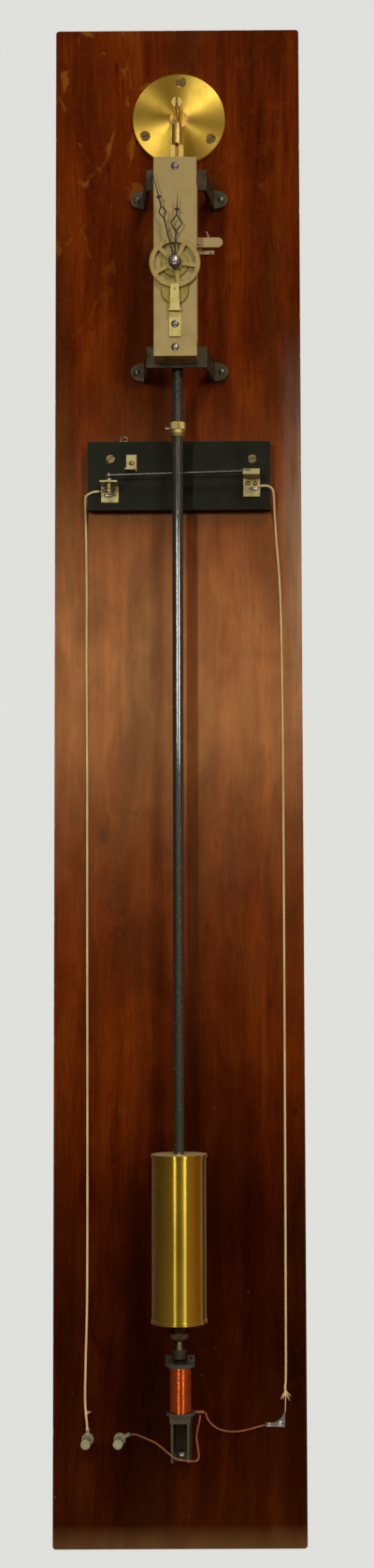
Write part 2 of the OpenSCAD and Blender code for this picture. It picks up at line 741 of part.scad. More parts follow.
// The soft iron at the foot of the pendulum, with a spigot that enters the ferrule
module armature() {
    color([0.16, 0.14, 0.12]) on_rod(pole_z) {
        cylinder(d = armature_d - 1.4, h = armature_h - 0.5);
        translate([0, 0, armature_h - armature_rim_h]) cylinder(d = armature_d, h = armature_rim_h);
        translate([0, 0, armature_h - 0.5]) cylinder(d = rating_screw_d, h = 2);
    }
}

// Movement

module strap_bracket(z) {
    half = strap_w / 2;
    low = half + leg_splay;
    lobe = foot_spacing / 2 - foot_inset;
    color([0.17, 0.16, 0.14]) difference() {
        union() {
            translate([centre_x, face, z - strap_h / 2]) linear_extrude(strap_h)
                for (s = [-1, 1]) {
                    polygon([[s * (half - strap_t), -strap_depth + strap_t], [s * half, -strap_depth + strap_t],
                        [s * low, 0], [s * (low - strap_t), 0]]);
                }
            bar(centre_x - half, centre_x + half, strap_depth - strap_t, strap_depth, z - strap_h / 2,
                z + strap_h / 2);
            for (s = [-1, 1]) {
                at(centre_x + s * lobe, z, 0) cylinder(d = foot_d, h = strap_t);
                at(centre_x, z, 0) linear_extrude(strap_t) polygon([[s * (low - strap_t), -strap_h / 2],
                    [s * lobe, -foot_d / 2], [s * lobe, foot_d / 2], [s * (low - strap_t), strap_h / 2]]);
            }
        }
        for (s = [-1, 1]) {
            at(centre_x + s * foot_spacing / 2, z, -1) cylinder(r = wood_screw_d / 2 + snug, h = strap_t + 2);
            at(centre_x + s * bracket_screw_x, z > plate_z ? spacer_top_z : spacer_bottom_z, strap_depth - strap_t - 1)
                cylinder(r = 1.5 + snug, h = strap_t + 2);
        }
    }
}

module upper_bracket() {
    strap_bracket(upper_bracket_z);
}

module lower_bracket() {
    strap_bracket(lower_bracket_z);
}

module plate_blank(depth) {
    at(centre_x, plate_z, depth) round_plate(plate_w, plate_h, plate_t, 0.6);
}

module back_screw_holes(r, depth, l) {
    for (z = [spacer_top_z, spacer_bottom_z]) for (s = [-1, 1])
        at(centre_x + s * bracket_screw_x, z, depth) cylinder(r = r, h = l, $fn = 24);
}

module front_screw_holes(r, depth, l) {
    for (z = [spacer_top_z, spacer_bottom_z]) at(centre_x, z, depth) cylinder(r = r, h = l, $fn = 24);
}

module pivot_holes(depth, centre_r) {
    at(centre_x, arbor_z, depth) cylinder(r = centre_r + run, h = plate_t + 2, $fn = 32);
    for (z = [inter_z, count_z]) at(centre_x, z, depth) cylinder(r = pivot_d / 2 + run, h = plate_t + 2, $fn = 24);
}

module back_plate() {
    window_w = 19;
    color([0.7, 0.62, 0.42]) difference() {
        plate_blank(back_face);
        pivot_holes(back_face - 1, 1);
        back_screw_holes(1.5 + snug, back_face - 1, plate_t + 2);
        bar(centre_x - window_w / 2, centre_x + window_w / 2, back_face - 1, back_front + 1, pawl_z - 7, pawl_z + 6);
        at_each(click_peg_places(), back_face - 1) cylinder(r = 1 + snug, h = plate_t + 2, $fn = 24);
    }
}

module front_plate() {
    color([0.72, 0.63, 0.43]) difference() {
        plate_blank(front_back);
        pivot_holes(front_back - 1, arbor_d / 2);
        front_screw_holes(1.5 + snug, front_back - 1, plate_t + 2);
        at(centre_x, minute_z, front_back - 1) cylinder(r = pivot_d / 2 + run, h = plate_t + 2, $fn = 24);
        at(centre_x, cock_screw_z(), front_back - 1) cylinder(r = 1.5 + snug, h = plate_t + 2, $fn = 24);
    }
}

module plate_spacers() {
    color([0.62, 0.55, 0.36]) for (s = [-1, 1]) {
        z = s > 0 ? spacer_top_z : spacer_bottom_z;
        difference() {
            bar(centre_x - plate_w / 2, centre_x + plate_w / 2, back_front, front_back, z - spacer_h / 2,
                z + spacer_h / 2);
            bar(centre_x - recess_w / 2, centre_x + recess_w / 2, back_front + (plate_gap - recess_t) / 2,
                front_back - (plate_gap - recess_t) / 2, s > 0 ? z + 4.5 : z - spacer_h / 2 - 1,
                s > 0 ? z + spacer_h / 2 + 1 : z - 4.5);
            for (t = [-1, 1]) at(centre_x + t * bracket_screw_x, z, back_front - 1) cylinder(r = 1.5 + snug, h = 7.5, $fn = 24);
            at(centre_x, z, front_back - 6.5) cylinder(r = 1.5 + snug, h = 7.5, $fn = 24);
        }
    }
}

// A domed machine screw whose head rests at zero, with a shank of a given length
module domed_screw(shank, turn) {
    rotate(turn) difference() {
        union() {
            dome(dome_r, 2.4);
            translate([0, 0, -shank]) cylinder(r = 1.5, h = shank, $fn = 24);
        }
        slot(0.8, 2 * dome_r + 2, 0.9, 2.4);
    }
}

module movement_screws() {
    color([0.62, 0.63, 0.66]) {
        at(centre_x, spacer_top_z, front_face) domed_screw(plate_t + 6, 30);
        at(centre_x, spacer_bottom_z, front_face) domed_screw(plate_t + 6, 70);
        at(centre_x, cock_screw_z(), front_face + cock_t) domed_screw(cock_t + plate_t + 1, 50);
        for (z = [spacer_top_z, spacer_bottom_z]) for (s = [-1, 1])
            translate([centre_x + bracket_screw_x * s, face - strap_depth + strap_t, z]) rotate([-90, 0, 0])
                domed_screw(strap_t + plate_t + 6, 20 * s);
    }
}

module count_wheel() {
    r = count_d / 2;
    deep = 1.5;
    color([0.68, 0.58, 0.3]) {
        at(centre_x, count_z, count_depth) linear_extrude(wheel_t) difference() {
            polygon([for (i = [0:count_teeth - 1]) for (p = [[0, r], [0.08, r - deep]])
                let (a = 90 + (i + p[0]) * 360 / count_teeth) [p[1] * cos(a), p[1] * sin(a)]]);
            crossings(4, r - deep - 2, 4, 2.4, 45);
        }
        at(centre_x, count_z, inter_depth - 0.6) linear_extrude(pinion_l) pinion_outline(train_module, 270 + 180 / pinion_teeth);
        at(centre_x, count_z, back_face + 0.2) cylinder(d = pivot_d, h = front_face - back_face - 0.4, $fn = 24);
    }
}

module intermediate_wheel() {
    color([0.7, 0.6, 0.32]) {
        at(centre_x, inter_z, inter_depth) linear_extrude(wheel_t) difference() {
            wheel_outline(inter_teeth, train_module, 90);
            crossings(4, 12.4, 3.6, 2.2, 45);
        }
        at(centre_x, inter_z, centre_depth - 0.6) linear_extrude(pinion_l)
            pinion_outline(train_module, 270 + 180 / pinion_teeth);
        at(centre_x, inter_z, back_face + 0.2) cylinder(d = pivot_d, h = front_face - back_face - 0.4, $fn = 24);
    }
}

// The centre wheel with its arbor, which comes through the front plate and carries the cannon wheel
module centre_wheel() {
    color([0.7, 0.6, 0.32]) {
        at(centre_x, arbor_z, centre_depth) linear_extrude(wheel_t) difference() {
            wheel_outline(centre_teeth, train_module, 90);
            crossings(4, 13.4, 4, 2.4, 45);
        }
        at(centre_x, arbor_z, back_face + 0.2) cylinder(d = 2, h = plate_t + 0.3, $fn = 24);
        at(centre_x, arbor_z, back_front + 0.3) cylinder(d = arbor_d, h = minute_hand_depth + hand_t - back_front - 0.3, $fn = 32);
        at(centre_x, arbor_z, minute_hand_depth) cylinder(d = 2, h = 4, $fn = 24);
    }
}

module cannon_wheel() {
    color([0.8, 0.7, 0.35]) at(centre_x, arbor_z, cannon_depth) difference() {
        union() {
            linear_extrude(wheel_t) wheel_outline(cannon_teeth, cannon_module, 270);
            cylinder(r = cannon_pipe_r, h = minute_hand_depth - eye_step - cannon_depth);
        }
        translate([0, 0, -1]) cylinder(r = arbor_d / 2 + snug, h = 20, $fn = 32);
    }
}

module minute_wheel() {
    color([0.76, 0.66, 0.34]) {
        at(centre_x, minute_z, cannon_depth) linear_extrude(wheel_t)
            wheel_outline(minute_teeth, cannon_module, 90 + 180 / minute_teeth);
        at(centre_x, minute_z, cannon_depth + wheel_t - 0.1) linear_extrude(pinion_l)
            pinion_outline(hour_module, 90 + 180 / pinion_teeth);
        at(centre_x, minute_z, front_back + 0.2) cylinder(d = pivot_d, h = cock_step + cock_t + plate_t - 0.5, $fn = 24);
    }
}

function cock_foot_top() = minute_z - cannon_module * (minute_teeth / 2 + 0.8) - cock_wheel_gap;
function cock_foot_low() = spacer_bottom_z + cock_screw_gap;
function cock_screw_z() = (cock_foot_low() + cock_foot_top()) / 2 + cock_screw_up;

module minute_cock() {
    w = cock_w / 2;
    color([0.82, 0.72, 0.42]) difference() {
        union() {
            bar(centre_x - w, centre_x + w, front_face, front_face + cock_t, cock_foot_low(), cock_foot_top());
            bar(centre_x - w, centre_x + w, front_face, front_face + cock_step + cock_t, cock_foot_top(),
                cock_foot_top() + cock_t);
            at(centre_x, 0, front_face + cock_step) linear_extrude(cock_t)
                polygon([[-w + 0.8, cock_foot_top()], [w - 0.8, cock_foot_top()], [w - 1.6, minute_z + 4.6],
                    [-w + 1.6, minute_z + 4.6]]);
        }
        at(centre_x, minute_z, front_face + cock_step - 1) cylinder(r = pivot_d / 2 + run, h = cock_t + 2, $fn = 24);
        at(centre_x, cock_screw_z(), front_face - 1) cylinder(r = 1.5 + snug, h = cock_t + 2, $fn = 24);
    }
}

module hour_wheel() {
    color([0.74, 0.62, 0.38]) at(centre_x, arbor_z, hour_depth) difference() {
        union() {
            linear_extrude(wheel_t) difference() {
                wheel_outline(hour_teeth, hour_module, 270);
                crossings(spokes, hour_rim, 7.4, spoke_w, 64);
            }
            cylinder(r = 6.6, h = wheel_t + 1.1);
            cylinder(r = hour_pipe_r, h = hour_hand_depth + hand_t - hour_depth);
        }
        translate([0, 0, -1]) cylinder(r = cannon_pipe_r + run, h = 20);
    }
}

// Outline of a barbed hand with an open diamond, pointing up from its boss
module hand_outline(l, barb, top, mid, low, half, stem, boss) {
    difference() {
        union() {
            polygon([[-stem, boss - 1], [stem, boss - 1], [stem, low + 0.6], [-stem, low + 0.6]]);
            polygon([[0, low - 1.6], [half, mid], [0, top + 1.6], [-half, mid]]);
            polygon([[-0.75, top], [0.75, top], [0.15, l], [-0.15, l]]);
            polygon([[0, barb - 3.6], [0.75, barb - 1], [2.4, barb + 1], [0.5, barb + 2.2], [-0.5, barb + 2.2],
                [-2.4, barb + 1], [-0.75, barb - 1]]);
            polygon([[-3, 0.4 - boss], [3, 0.4 - boss], [0, -boss - 1.9]]);
        }
        polygon([[0, low + 0.7], [half - 1.15, mid], [0, top - 0.7], [-half + 1.15, mid]]);
    }
}

module hour_hand() {
    color([0.08, 0.08, 0.08]) at(centre_x, arbor_z, hour_hand_depth) rotate(-hour_turn) difference() {
        union() {
            linear_extrude(hand_t) hand_outline(hour_hand_l, 46, 41.4, 34.2, 26.7, 5.6, 0.7, 5.8);
            translate([0, 0, -0.1]) cylinder(r = 5.8, h = hand_t + 0.3);
        }
        translate([0, 0, -1]) cylinder(r = hour_pipe_r + snug, h = 4);
    }
}

module minute_hand() {
    color([0.08, 0.08, 0.08]) at(centre_x, arbor_z, minute_hand_depth) rotate(minute_turn) difference() {
        union() {
            linear_extrude(hand_t) hand_outline(minute_hand_l, 58, 49.8, 45, 38.8, 3.8, 0.7, 5.4);
            translate([0, 0, -eye_step]) cylinder(r = 5.4, h = hand_t + eye_step);
        }
        translate([0, 0, -1]) cylinder(r = arbor_d / 2 + snug, h = 4, $fn = 32);
    }
}

module hand_nut() {
    color([0.7, 0.68, 0.62]) at(centre_x, arbor_z, minute_hand_depth + hand_t) difference() {
        union() {
            cylinder(r = hand_nut_r, h = 1.2);
            translate([0, 0, 1.2]) dome(hand_nut_r - 0.1, 2.2);
        }
        translate([0, 0, -1]) cylinder(r = 1 + snug, h = 4.4, $fn = 24);
    }
}

// The clamp on the rod that reaches forwards through the back plate's window to the pawl's pivot
module pawl_carrier() {
    color([0.6, 0.52, 0.3]) difference() {
        union() {
            on_rod(pawl_z - 4) cylinder(d = rod_d + 6, h = 7);
            bar(centre_x - 2.5, centre_x + 2.5, rod_depth, count_depth - 0.3, pawl_z - 3, pawl_z + 2.6);
        }
        on_rod(pawl_z - 6) cylinder(r = rod_d / 2 + snug, h = 12);
        at(centre_x, pawl_z, count_depth - 1.5) cylinder(r = pin_d / 2 + snug, h = 3, $fn = 24);
    }
}

module drive_pawl() {
    tip = count_z + count_d / 2 + 0.9 - pawl_z;
    color([0.4, 0.42, 0.46]) at(centre_x, pawl_z, count_depth) difference() {
        union() {
            translate([0, 0, -0.1]) cylinder(r = 2.4, h = wheel_t + 0.2, $fn = 32);
            linear_extrude(wheel_t) polygon([[-1, 1.8], [-1, -1.8], [-6.2, -3], [-7.6, tip], [-8.6, tip], [-8, -1]]);
        }
        translate([0, 0, -1]) cylinder(r = pin_d / 2 + run, h = wheel_t + 2, $fn = 24);
    }
}

lever_x = centre_x + 20.1;
lever_z = 467.6;
function click_peg_places() = [[centre_x + 8.5, lever_z - 7.3], [centre_x + 15.5, lever_z - 7.3]];

module click_lever() {
    top = 5.4;
    low = top - lever_h;
    color([0.62, 0.54, 0.34]) at(lever_x, lever_z, count_depth) linear_extrude(wheel_t) difference() {
        union() {
            translate([-3.4, low]) square([lever_l + 3.4 - lever_h / 2, lever_h]);
            translate([lever_l - lever_h / 2, low + lever_h / 2]) circle(lever_h / 2);
            polygon([[-3.4, 2.4], [-1.4, top - 0.5], [-2, 12.6], [-4, 10.4]]);
        }
        circle(1.5 + run, $fn = 24);
    }
}

module click_spring() {
    color([0.75, 0.72, 0.65]) translate([lever_x + 9.4, face - count_depth - wheel_t / 2, lever_z + 5.4])
        rotate([0, -25, 0]) cylinder(d = 0.6, h = 6.6, $fn = 16);
}

module click_bracket() {
    t = 1.4;
    color([0.6, 0.53, 0.34]) {
        bar(centre_x + 4.5, centre_x + 34, back_front, back_front + t, lever_z - 9, lever_z - 5.6);
        bar(lever_x - 3, lever_x + 3, back_front, back_front + t, lever_z - 9, lever_z + 3);
        at_each(click_peg_places(), back_face) cylinder(r = 1, h = plate_t + t + 0.8, $fn = 24);
        at(lever_x, lever_z, back_front + 0.2) cylinder(r = 1.5, h = count_depth + wheel_t - back_front + 0.6, $fn = 24);
        at(centre_x + 31.2, lever_z - 7.4, back_front + 0.2) cylinder(r = 1.1, h = t + 1.6, $fn = 24);
    }
}

// Switch

module switch_board() {
    color([0.09, 0.09, 0.085]) difference() {
        at(centre_x, switch_z, 0) round_plate(switch_w, switch_h, switch_t, 2);
        at_each(switch_holes, switch_t) sunk_hole();
        at_each(concat(post_holes, block_holes, stop_hole), switch_t - 6)
            cylinder(r = fix_screw_d / 2 + snug, h = 8, $fn = 24);
    }
}

module fix_holes(places) {
    at_each(places, switch_front - 1) cylinder(r = fix_screw_d / 2 + snug, h = 4, $fn = 24);
}

module contact_post() {
    x0 = contact_x - post_w / 2;
    color([0.68, 0.62, 0.38]) difference() {
        union() {
            bar(x0, x0 + post_w, switch_front, switch_front + angle_t, shelf_z - post_h, shelf_z);
            bar(x0, x0 + post_w, switch_front, switch_front + shelf_reach, shelf_z - angle_t, shelf_z);
            translate([contact_x, face - toggle_depth, shelf_z - angle_t]) rotate(12)
                cylinder(d = 5.2 / cos(30), h = angle_t + 2.3, $fn = 6);
        }
        fix_holes(post_holes);
        translate([contact_x, face - toggle_depth, shelf_z - 4]) cylinder(r = 1.5 + snug, h = 9, $fn = 24);
    }
}

// The vertical contact screw with its thumb head under the shelf and its bulb at the foot
module contact_screw() {
    tip = contact_tip - strip_t / 2 - rivet_down - contact_gap;
    color([0.78, 0.72, 0.5]) translate([contact_x, face - toggle_depth, 0]) {
        translate([0, 0, shelf_z - 9.6]) cylinder(r = 1.5, h = tip - 0.9 - shelf_z + 9.6, $fn = 24);
        translate([0, 0, tip - 1]) cylinder(r1 = 1.5, r2 = 0.7, h = 1, $fn = 24);
        translate([0, 0, shelf_z - 9.8]) cylinder(r = 2.8, h = 2.4, $fn = 32);
        translate([0, 0, shelf_z - angle_t - 4.6]) cylinder(r = 2.95, h = 4.2, $fn = 32);
    }
}

// The strip's own frame: its origin is where it leaves the block, and it runs along -X
module along_strip() {
    translate([block_left, face - toggle_depth, strip_z]) rotate([0, -strip_fall, 0]) children();
}

module contact_strip() {
    color([0.55, 0.52, 0.42]) difference() {
        union() {
            along_strip() translate([-strip_end, -strip_w / 2, -strip_t / 2]) cube([strip_end + 0.1, strip_w, strip_t]);
            bar(block_left, block_left + strip_tail, toggle_depth - strip_w / 2, toggle_depth + strip_w / 2,
                strip_z - strip_t / 2, strip_z + strip_t / 2);
            along_strip() translate([-strip_run / cos(strip_fall), 0, -strip_t / 2 - rivet_down])
                cylinder(d = rivet_d, h = strip_t + rivet_down + rivet_up, $fn = 24);
        }
    }
}

module toggle_block() {
    reach = (block_left - centre_x) / cos(strip_fall);
    color([0.5, 0.5, 0.52]) along_strip() translate([-reach, 2, strip_t / 2]) rotate([90, 0, 0])
        linear_extrude(4) polygon([[-3.5, 0], [3.5, 0], [3.5, 2.6], [1.2, 2.6], [0, 1.4], [-1.2, 2.6], [-3.5, 2.6]]);
}

module strip_block() {
    plate_low = block_top - 21.7;
    kerf = 0.15;
    color([0.7, 0.64, 0.4]) difference() {
        union() {
            bar(block_left, block_left + block_w, switch_front, switch_front + angle_t, plate_low, block_top);
            bar(block_left, block_left + block_w, switch_front, switch_front + shelf_reach,
                block_top - block_flange_h, block_top);
        }
        bar(block_left - 1, block_left + strip_tail + 0.3, toggle_depth - strip_w / 2 - 0.4,
            switch_front + shelf_reach + 1, strip_z - strip_t / 2 - kerf, strip_z + strip_t / 2 + kerf);
        fix_holes(block_holes);
    }
}

module back_stop() {
    x0 = centre_x - stop_x - stop_w / 2;
    low = switch_z + 1.6;
    color([0.6, 0.5, 0.3]) difference() {
        union() {
            bar(x0, x0 + stop_w, switch_front, switch_front + angle_t, low, low + stop_h);
            bar(x0, x0 + stop_w, switch_front, switch_front + shelf_reach, low, low + angle_t);
        }
        fix_holes(stop_hole);
    }
}

module contact_fixings() {
    color([0.55, 0.48, 0.3]) at_each(concat(post_holes, block_holes, stop_hole), switch_front + angle_t)
        difference() {
            union() {
                dome(fix_head_d / 2, 1.2);
                translate([0, 0, -angle_t - 5]) cylinder(d = fix_screw_d, h = angle_t + 5, $fn = 24);
            }
            slot(0.6, fix_head_d + 1, 0.6, 1.2);
        }
}

// Magnet

module magnet_bracket() {
    half = channel_w / 2;
    color([0.3, 0.29, 0.25]) difference() {
        union() {
            bar(magnet_x - yoke_w / 2, magnet_x + yoke_w / 2, 0, yoke_reach, yoke_bottom, yoke_top);
            bar(magnet_x - half, magnet_x + half, 0, channel_t, channel_bottom, yoke_bottom);
            for (s = [-1, 1]) translate([magnet_x + s * (half - channel_t / 2) - channel_t / 2, face, 0])
                rotate([90, 0, 90]) linear_extrude(channel_t)
                    polygon([[0, channel_bottom], [0, yoke_bottom], [-yoke_reach, yoke_bottom],
                        [-yoke_reach, flange_bottom]]);
        }
        for (p = magnet_holes) at(p[0], p[1], -1) cylinder(r = wood_screw_d / 2 + snug, h = channel_t + 2);
        translate([magnet_x, face - rod_depth, yoke_bottom - 1]) cylinder(d = core_d + 2 * snug, h = yoke_t + 2);
    }
}

module on_magnet(z) {
    translate([magnet_x, face - rod_depth, z]) children();
}

module magnet_core() {
    color([0.22, 0.21, 0.2]) on_magnet(yoke_bottom) cylinder(d = core_d, h = pole_z - pole_gap - yoke_bottom);
}

// Two cheeks on a tube, two upright ears behind the top cheek and the lead-out at the bottom right
module bobbin() {
    hole_r = 6.6;
    color([0.33, 0.32, 0.25]) difference() {
        union() {
            on_magnet(yoke_top) cylinder(d = cheek_d, h = cheek_t);
            on_magnet(winding_top) cylinder(d = cheek_d, h = cheek_t);
            on_magnet(yoke_top) cylinder(r = core_d / 2 + 2.6, h = winding_l + 2 * cheek_t);
            for (s = [-1, 1]) {
                x0 = magnet_x + (s > 0 ? 5.4 : -13.4);
                bar(x0, x0 + (s > 0 ? 6.4 : 5.4), ear_depth, ear_depth + 2.2, winding_top + 0.4, cheek_top + 5.2);
                bar(magnet_x + (s > 0 ? 5.4 : -13.4), magnet_x + (s > 0 ? 11.8 : -5.4), ear_depth, rod_depth - 2,
                    winding_top + 0.4, cheek_top - 0.4);
            }
            translate([magnet_x + 9, face - 34, yoke_top + 1.4]) rotate([0, 90, 0]) cylinder(d = 2.4, h = 11.5, $fn = 24);
        }
        on_magnet(yoke_top - 1) cylinder(d = core_d + 2 * snug, h = winding_l + 3 * cheek_t);
        on_magnet(winding_top + 1) cylinder(r = hole_r, h = cheek_t + 1);
        at(magnet_x + 8.8, cheek_top + 2.6, ear_depth - 1) cylinder(r = 1.2, h = 6, $fn = 24);
    }
}

// A ring of points round a place on a path, square to the direction along
function ring_at(p, along, r, n) = let (
    t = along / norm(along), side0 = abs(t[2]) > 0.9 ? [1, 0, 0] : [0, 0, 1],
    u0 = cross(t, side0), u = u0 / norm(u0), v = cross(t, u))
    [for (k = [0:n - 1]) p + r * (cos(360 * k / n) * u + sin(360 * k / n) * v)];

function tube_faces(rings, n) = concat(
    [[for (k = [0:n - 1]) k]],
    [for (i = [0:rings - 2]) for (k = [0:n - 1]) let (a = i * n + k, b = i * n + (k + 1) % n) each
        [[a, a + n, b], [b, a + n, b + n]]],
    [[for (k = [n - 1:-1:0]) (rings - 1) * n + k]]);

loop_steps = 24;
turn_pitch = (winding_l - turn_d - 0.6) / turns;
turn_r = (winding_d - turn_d) / 2;
// Points along the winding's outer layer, a helix from its foot to its top
turn_path = [for (i = [0:turns * loop_steps]) let (a = 360 * i / loop_steps)
    [turn_r * cos(a), turn_r * sin(a), turn_d / 2 + 0.3 + turn_pitch * i / loop_steps]];
echo(winding_gap = norm(turn_path[loop_steps] - turn_path[0]) - turn_d);

module winding_turns() {
    n = 6;
    rise = turn_pitch / (2 * PI * turn_r);
    rings = [for (i = [0:len(turn_path) - 1]) let (p = turn_path[i], a = 360 * i / loop_steps,
        out = [cos(a), sin(a), 0], up = [-rise * -sin(a), -rise * cos(a), 1] / sqrt(1 + rise * rise))
        each [for (k = [0:n - 1]) p + turn_d / 2 * (cos(360 * k / n) * out - sin(360 * k / n) * up)]];
    on_magnet(winding_bottom) polyhedron(rings, tube_faces(len(turn_path), n), convexity = 10);
}

module winding() {
    color([0.72, 0.3, 0.1]) {
        on_magnet(winding_bottom) difference() {
            cylinder(r = (turn_r - turn_d / 2) * cos(180 / loop_steps) - 0.1, h = winding_l);
            translate([0, 0, -1]) cylinder(r = core_d / 2 + 2.6 + snug, h = winding_l + 2);
        }
        winding_turns();
    }
}

// Terminals and wiring

module terminal_posts() {
    color([0.5, 0.48, 0.4]) at_each(terminals, 0) {
        cylinder(d = terminal_base_d, h = 2.6);
        translate([0, 0, -8]) cylinder(r = 2, h = terminal_reach + 7, $fn = 32);
    }
}

module terminal_nuts() {
    color([0.6, 0.6, 0.5]) at_each(terminals, 3.6) difference() {
        union() {
            cylinder(d = terminal_base_d - 0.6, h = 3);
            translate([0, 0, 3]) cylinder(d = terminal_nut_d - 1.6, h = 1.2);
            translate([0, 0, 4.2]) cylinder(d = terminal_nut_d, h = terminal_reach - 3.6 - 4.2);
        }
        translate([0, 0, -1]) cylinder(r = 2 + snug, h = terminal_reach - 3.6, $fn = 32);
    }
}

module tag_outline(l, w) {
    difference() {
        union() {
            circle(3.8);
            translate([0, -w / 2]) square([l, w]);
        }
        circle(2 + snug, $fn = 32);
    }
}

// A tag under each terminal's nut, and the soldered joint that lies on the board at the right
module solder_tags() {
    // the soldered joint runs from the end of the right wire to the end of the right lead
    wire_end = [right_wire_route[17][0], right_wire_route[17][2]];
    lead_end = [right_lead_route[14][0], right_lead_route[14][2]];
    tack = wire_end - [4.6, 8.4];
    color([0.62, 0.62, 0.58]) {
        at(terminals[0][0], terminals[0][1], 2.6) rotate(90) linear_extrude(1) tag_outline(10, 3.4);
        at(terminals[1][0], terminals[1][1], 2.6) rotate(28) linear_extrude(1) tag_outline(10.4, 3);
        at(0, 0, 0) linear_extrude(1.2)
            polygon([wire_end + [0.2, 1.6], wire_end - [0.4, 13.6], wire_end - [6.2, 13.2], lead_end + [1.2, -1.8],
                lead_end + [0.4, 1.6], lead_end + [9.2, 1.8], wire_end - [3.8, 6]]);
        at(lead_end[0] + 3.4, lead_end[1], 1.2) dome(2, 1.1);
        at(tack[0], tack[1] - 2, 1.2) dome(2.4, 1.2);
    }
}

// A round wire along a route of [x, depth, height]
module wire_along(route, d) {
    pts = [for (p = route) [p[0], face - p[1], p[2]]];
    last = len(pts) - 1;
    n = 8;
    rings = [for (i = [0:last]) each ring_at(pts[i], pts[min(i + 1, last)] - pts[max(i - 1, 0)], d / 2, n)];
    polyhedron(rings, tube_faces(len(pts), n), convexity = 4);
}

module left_wire() {
    color([0.8, 0.7, 0.54]) wire_along(left_wire_route, wire_d);
}

module right_wire() {
    color([0.8, 0.7, 0.54]) wire_along(right_wire_route, wire_d);
}

module left_lead() {
    color([0.5, 0.24, 0.1]) wire_along(left_lead_route, lead_d);
}

module right_lead() {
    color([0.5, 0.24, 0.1]) wire_along(right_lead_route, lead_d);
}

backboard();
suspension_disc();
countersunk_screws();
suspension_stud();
suspension_pin();
suspension_spring();
pendulum_head();
pendulum_rod();
pendulum_pins();
rod_collar();
collar_screw();
toggle_vane();
bob_tube();
bob_caps();
bob_filling();
bob_nut();
rating_nut();
armature_ferrule();
armature();
upper_bracket();
lower_bracket();
round_head_screws();
back_plate();
front_plate();
plate_spacers();
movement_screws();
count_wheel();
intermediate_wheel();
centre_wheel();
cannon_wheel();
minute_wheel();
minute_cock();
hour_wheel();
hour_hand();
minute_hand();
hand_nut();
pawl_carrier();
drive_pawl();
click_lever();
click_spring();
click_bracket();
switch_board();
contact_post();
contact_screw();
contact_strip();
toggle_block();
strip_block();
back_stop();
contact_fixings();
magnet_bracket();
magnet_core();
bobbin();
winding();
terminal_posts();
terminal_nuts();
solder_tags();
left_wire();
right_wire();
left_lead();
right_lead();
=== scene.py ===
import json
import math
import random

import bmesh
import bpy
from mathutils import Matrix, Vector, noise


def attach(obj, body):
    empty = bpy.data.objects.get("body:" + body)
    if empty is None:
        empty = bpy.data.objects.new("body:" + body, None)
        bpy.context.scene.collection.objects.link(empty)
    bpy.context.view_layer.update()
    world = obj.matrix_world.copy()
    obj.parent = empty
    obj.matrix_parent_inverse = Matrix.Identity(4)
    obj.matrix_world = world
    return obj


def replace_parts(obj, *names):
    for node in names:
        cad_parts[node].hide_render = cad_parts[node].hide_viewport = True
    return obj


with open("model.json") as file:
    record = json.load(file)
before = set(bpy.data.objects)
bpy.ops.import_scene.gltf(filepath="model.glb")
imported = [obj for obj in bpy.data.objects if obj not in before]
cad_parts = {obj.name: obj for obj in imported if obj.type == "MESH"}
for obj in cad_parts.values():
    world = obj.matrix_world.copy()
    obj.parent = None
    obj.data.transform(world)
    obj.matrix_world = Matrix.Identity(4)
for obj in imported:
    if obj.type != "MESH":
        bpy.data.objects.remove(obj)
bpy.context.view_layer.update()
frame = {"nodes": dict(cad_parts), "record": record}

scene = bpy.context.scene

MM = 0.001
BOARD_FACE = 22.0  # mm, from the board's back, where y is 0, to its face
BOARD_HALF_H = 0.69  # m


def at(x, depth, z):
    """A point in the shared frame, from mm: x and z as in the part's source, depth in front of the board."""
    return Vector((x, -(BOARD_FACE + depth), z)) * MM


# Camera, solved from the photograph

IMAGE_HEIGHT = 1679
FOCAL_PIXELS = 2371.8
AXIS_OFF_CENTRE = 93.7  # pixels from the image's centre to the lens axis, to the right
SENSOR = 36.0
CLIP_START, CLIP_END = 0.05, 100
CAMERA_PLACE = (0.0953, -2.022, -0.1676)
PITCH, YAW, ROLL = (math.radians(degrees) for degrees in (4.411, -0.244, -0.302))


def make_camera():
    data = bpy.data.cameras.new("camera")
    data.sensor_fit = "AUTO"
    data.sensor_width = SENSOR
    data.lens = FOCAL_PIXELS / IMAGE_HEIGHT * SENSOR
    data.shift_x = -AXIS_OFF_CENTRE / IMAGE_HEIGHT
    data.clip_start, data.clip_end = CLIP_START, CLIP_END
    camera = bpy.data.objects.new("camera", data)
    scene.collection.objects.link(camera)
    forward = Vector((math.sin(YAW) * math.cos(PITCH), math.cos(YAW) * math.cos(PITCH), math.sin(PITCH)))
    right = Vector((math.cos(YAW), -math.sin(YAW), 0))
    up = right.cross(forward)
    turned_right = math.cos(ROLL) * right + math.sin(ROLL) * up
    turned_up = -math.sin(ROLL) * right + math.cos(ROLL) * up
    axes = Matrix((turned_right, turned_up, -forward)).transposed()
    camera.matrix_world = Matrix.Translation(Vector(CAMERA_PLACE)) @ axes.to_4x4()
    scene.camera = camera


make_camera()
scene.view_settings.view_transform = "Standard"


# Shader nodes

